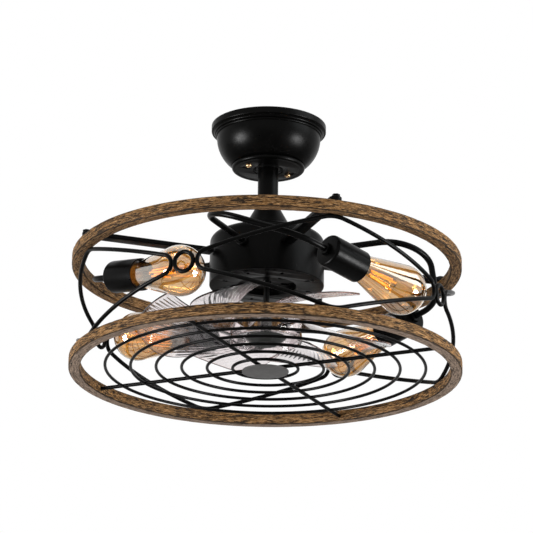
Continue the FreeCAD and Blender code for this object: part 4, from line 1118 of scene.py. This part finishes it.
def make_grille():
    radii = [GRILLE_FIRST_RADIUS + GRILLE_SPACING * index for index in range(GRILLE_CIRCLES)]
    wires = joined([torus(radius, GRILLE_WIRE, FINE_STEPS).shifted(GRILLE_LEVEL) for radius in radii])
    reach = min(box_mm("wire_grille")[1].x * sqrt(2) + SPOKE_ENTRY,
                box_mm("lower_ring")[1].x - HOOP_WIDTH)
    spoke = tube([UP * GRILLE_LEVEL, Vector((reach, 0, GRILLE_LEVEL))], SPOKE_RADIUS).turned(45)
    boss = barrel(0, BOSS_RADIUS, GRILLE_LEVEL - BOSS_HALF, GRILLE_LEVEL + BOSS_HALF, 0.4, 0.8, 48)
    add_piece("wire_grille_bars", wires + quarters(spoke) + boss, ["wire_grille"])
    low, high = box_mm("grille_disc")
    disc = barrel(0, high.x, low.z, high.z, 0.8, 0.4)
    add_piece("grille_disc_plate", disc, ["grille_disc"], "grey_paint")


# Impeller


def between(share, values):
    """Smooth value between the sections of a blade."""
    total = 0.0
    for knot, value in zip(BLADE_SHARES, values):
        weight = 1.0
        for other in BLADE_SHARES:
            if other != knot:
                weight *= (share - other) / (knot - other)
        total += weight * value
    return total


def blade_point(radius, chord):
    """Point of a blade's middle surface, from -1 at its back edge to 1 at its front, and the normal."""
    reach = radius
    for _ in range(4):
        half = tan(radians(between(reach / BLADE_TIP_RADIUS, BLADE_HALVES)))
        reach = radius / sqrt(1 + (half * chord) ** 2)
    share = reach / BLADE_TIP_RADIUS
    out = unit(radians(between(share, BLADE_MIDDLES))).to_3d()
    lead = UP.cross(out) * (reach * half) + UP * (BLADE_PITCH * between(share, BLADE_PITCHES) / 2)
    normal = out.cross(lead).normalized()
    return out * reach + lead * chord + normal * (BLADE_CAMBER * share * (1 - chord ** 2)), normal


def blade_tip(chord):
    """Radius where a blade ends, with its front and back corners rounded."""
    tip = BLADE_TIP_RADIUS
    for side, bend in ((1 - chord, BLADE_FRONT_CORNER), (1 + chord, BLADE_BACK_CORNER)):
        run = side * BLADE_TIP_HALF
        if run < bend:
            tip -= bend - sqrt(bend ** 2 - (bend - run) ** 2)
    return tip


def blade():
    """Clear blade with a rounded tip and faint ribs under its outer part, and marks along its rim."""
    columns = range(BLADE_COLUMNS + 1)
    chords = [2 * column / BLADE_COLUMNS - 1 for column in columns]
    tips = [blade_tip(chord) for chord in chords]
    points = []
    marks = []
    for row in range(BLADE_ROWS + 1):
        upper, lower = [], []
        for chord, tip in zip(chords, tips):
            radius = BLADE_HUB_RADIUS + (tip - BLADE_HUB_RADIUS) * row / BLADE_ROWS
            place, normal = blade_point(radius, chord)
            fade = clamped((radius - BLADE_RIB_START) / BLADE_RIB_RISE)
            fade *= min(1.0, (tip - radius) / BLADE_RIB_TIP_FADE)
            fade *= min(1.0, (1 - abs(chord)) * BLADE_RIB_EDGE_FADE)
            rib = BLADE_RIB_DEPTH * fade * (0.5 + 0.5 * cos(pi * BLADE_RIBS * chord))
            upper.append(place + normal * (BLADE_THICKNESS / 2))
            lower.append(place - normal * (BLADE_THICKNESS / 2 - rib))
        points += upper + lower[::-1]
        edge = [float(row == BLADE_ROWS or column in (0, BLADE_COLUMNS)) for column in columns]
        marks += edge + edge[::-1]
    count = 2 * len(columns)
    faces = skin(BLADE_ROWS + 1, count)
    for start in (0, BLADE_ROWS * count):
        far = start + count - 1
        faces += [(start + column, start + column + 1, far - column - 1, far - column)
                  for column in range(BLADE_COLUMNS)]
    return Form(points, faces).shifted(BLADE_LEVEL), marks


def make_impeller():
    one, marks = blade()
    blades = joined([one.turned(BLADE_ANGLE + 360 / BLADES * turn) for turn in range(BLADES)])
    low, high = box_mm("impeller_hub")
    bottom = low.z - SLEEVE_DROP
    web = low.z + CAP_RAISE
    web_top = web + SLEEVE_WALL
    inner = SLEEVE_RADIUS - SLEEVE_WALL
    sleeve = lathe(rounded([
        (inner, bottom, 0.5), (SLEEVE_RADIUS, bottom, 0.5), (SLEEVE_RADIUS, high.z, 0.5),
        (inner, high.z, 0.5), (inner, web_top, 0), (SPINDLE_RADIUS, web_top, 0),
        (SPINDLE_RADIUS, web, 0), (inner, web, 0),
    ]))
    piece = add_piece("impeller_blade_set", blades + sleeve, ["impeller_blades"], "clear_acrylic",
                      IMPELLER, GLASS_CREASE)
    mark_points(piece, "rim", marks * BLADES + [0.0] * len(sleeve.points))
    hub = barrel(0, SPINDLE_RADIUS, low.z, high.z, 0.6, 2.0)
    add_piece("impeller_hub_drum", hub, ["impeller_hub"], "dark_plastic", IMPELLER)
    low, high = box_mm("hub_cap")
    face, rim = low.z + CAP_RAISE, high.z + CAP_RAISE
    cap = rounded([(0, face, 0), (CAP_FACE_RADIUS, face, CAP_FACE_BEND), (CAP_RADIUS, rim, 0.6),
                   (CAP_RADIUS - CAP_WALL, rim, 0), (CAP_INNER_RADIUS, face + CAP_WALL, 0),
                   (0, face + CAP_WALL, 0)])
    add_piece("hub_cap_cone", lathe(cap), ["hub_cap"], "dark_plastic", IMPELLER)
    low, high = box_mm("motor_shaft")
    shaft = barrel(0, high.x, low.z + CAP_RAISE, high.z, 0.4, 0.4, 48)
    add_piece("motor_shaft_rod", shaft, ["motor_shaft"], "dark_steel", IMPELLER)


# Stage, light and camera, with lengths in metres
FLOOR_LEVEL = -2.6
FLOOR_REACH = 14.0
FILL_STRENGTH = 0.4
LIGHT_TARGET = Vector((0, 0, -0.22))
WHITE = (1, 1, 1)
COOL = (0.94, 0.98, 1.0)
CAMERA_PLACE = Vector((-1.31554, -3.61311, -1.49121))
CAMERA_LOOK = Vector((0.32405, 0.89033, 0.31987))
CAMERA_ROLL = 0.833
CAMERA_LENS = 212.14
CAMERA_SENSOR = 36.0

# Soft boxes: azimuth, elevation, distance, width, height, power, colour, and whether they light matt faces
LIGHTS = {
    "left_box": (181, -15, 2.6, 0.9, 0.9, 52, WHITE, True),
    "right_box": (321, -17, 2.6, 0.9, 0.9, 42, WHITE, True),
    "left_glint": (181, -15, 2.5, 0.9, 0.7, 100, WHITE, False),
    "right_glint": (321, -17, 2.5, 0.9, 0.7, 75, WHITE, False),
    "high_box": (326, 27, 2.4, 1.6, 1.6, 30, COOL, True),
    "top_box": (230, 55, 2.4, 1.0, 0.8, 12, WHITE, True),
}


def mix_shaders(factor, first, second, target):
    """Link a mix of two shaders to an output."""
    mix = add_node(first, "ShaderNodeMixShader")
    for socket, source in zip(mix.inputs, (factor, first.outputs[0], second.outputs[0])):
        set_or_link(socket, source)
    link(mix.outputs[0], target, "Surface")


def floor_finish(shader, place):
    """Pale grey that is clear from behind."""
    clouded(shader, place, 2, (0.80, 0.80, 0.80), (0.84, 0.84, 0.84))
    shader.inputs["Roughness"].default_value = 0.8
    behind = add_node(shader, "ShaderNodeNewGeometry").outputs["Backfacing"]
    clear = add_node(shader, "ShaderNodeBsdfTransparent")
    mix_shaders(behind, shader, clear, shader.id_data.nodes["Material Output"])


def make_floor():
    """Pale floor of a room, seen from above only, so that views from below it stay open."""
    mesh = bpy.data.meshes.new("floor")
    corners = [(x * FLOOR_REACH, y * FLOOR_REACH, FLOOR_LEVEL)
               for x, y in ((-1, -1), (1, -1), (1, 1), (-1, 1))]
    mesh.from_pydata(corners, [], [(0, 1, 2, 3)])
    floor = new_object("floor", mesh)
    mesh.materials.append(make_material("floor", floor_finish))


def make_world():
    """White to the eye and in reflections, and a softer fill as light."""
    world = bpy.data.worlds.new("studio")
    bpy.context.scene.world = world
    world.use_nodes = True
    world.node_tree.nodes.clear()
    path = world.node_tree.nodes.new("ShaderNodeLightPath")
    seen = math_node("MAXIMUM", path.outputs["Is Camera Ray"], path.outputs["Is Glossy Ray"])
    seen = math_node("MAXIMUM", seen, path.outputs["Is Transmission Ray"])
    fill = add_node(path, "ShaderNodeBackground", Color=(1, 1, 1, 1), Strength=FILL_STRENGTH)
    white = add_node(path, "ShaderNodeBackground", Color=(1, 1, 1, 1), Strength=1.0)
    mix_shaders(seen, fill, white, add_node(path, "ShaderNodeOutputWorld"))


def add_light(name, azimuth, elevation, distance, width, height, power, colour, lights_matt):
    """Soft box that faces the middle of the fan."""
    light = bpy.data.lights.new(name, "AREA")
    light.shape = "RECTANGLE"
    light.size = width
    light.size_y = height
    light.energy = power
    light.color = colour
    lamp = new_object(name, light)
    turn, rise = radians(azimuth), radians(elevation)
    away = Vector((*unit(turn) * cos(rise), sin(rise)))
    lamp.location = LIGHT_TARGET + away * distance
    lamp.rotation_euler = away.to_track_quat("Z", "Y").to_euler()
    lamp.visible_diffuse = lights_matt


def make_camera():
    data = bpy.data.cameras.new("camera")
    data.lens = CAMERA_LENS
    data.sensor_width = CAMERA_SENSOR
    camera = new_object("camera", data)
    camera.location = CAMERA_PLACE
    roll = Quaternion((0, 0, 1), radians(CAMERA_ROLL))
    camera.rotation_mode = "QUATERNION"
    camera.rotation_quaternion = CAMERA_LOOK.to_track_quat("-Z", "Y") @ roll
    bpy.context.scene.camera = camera


finish_cad_nodes()
make_canopy()
make_hanger()
make_motor()
make_hoops()
make_bars()
make_arms()
make_lamps()
make_cage()
make_grille()
make_impeller()
make_floor()
make_world()
for name, values in LIGHTS.items():
    add_light(name, *values)
make_camera()
bpy.context.scene.view_settings.view_transform = "Standard"
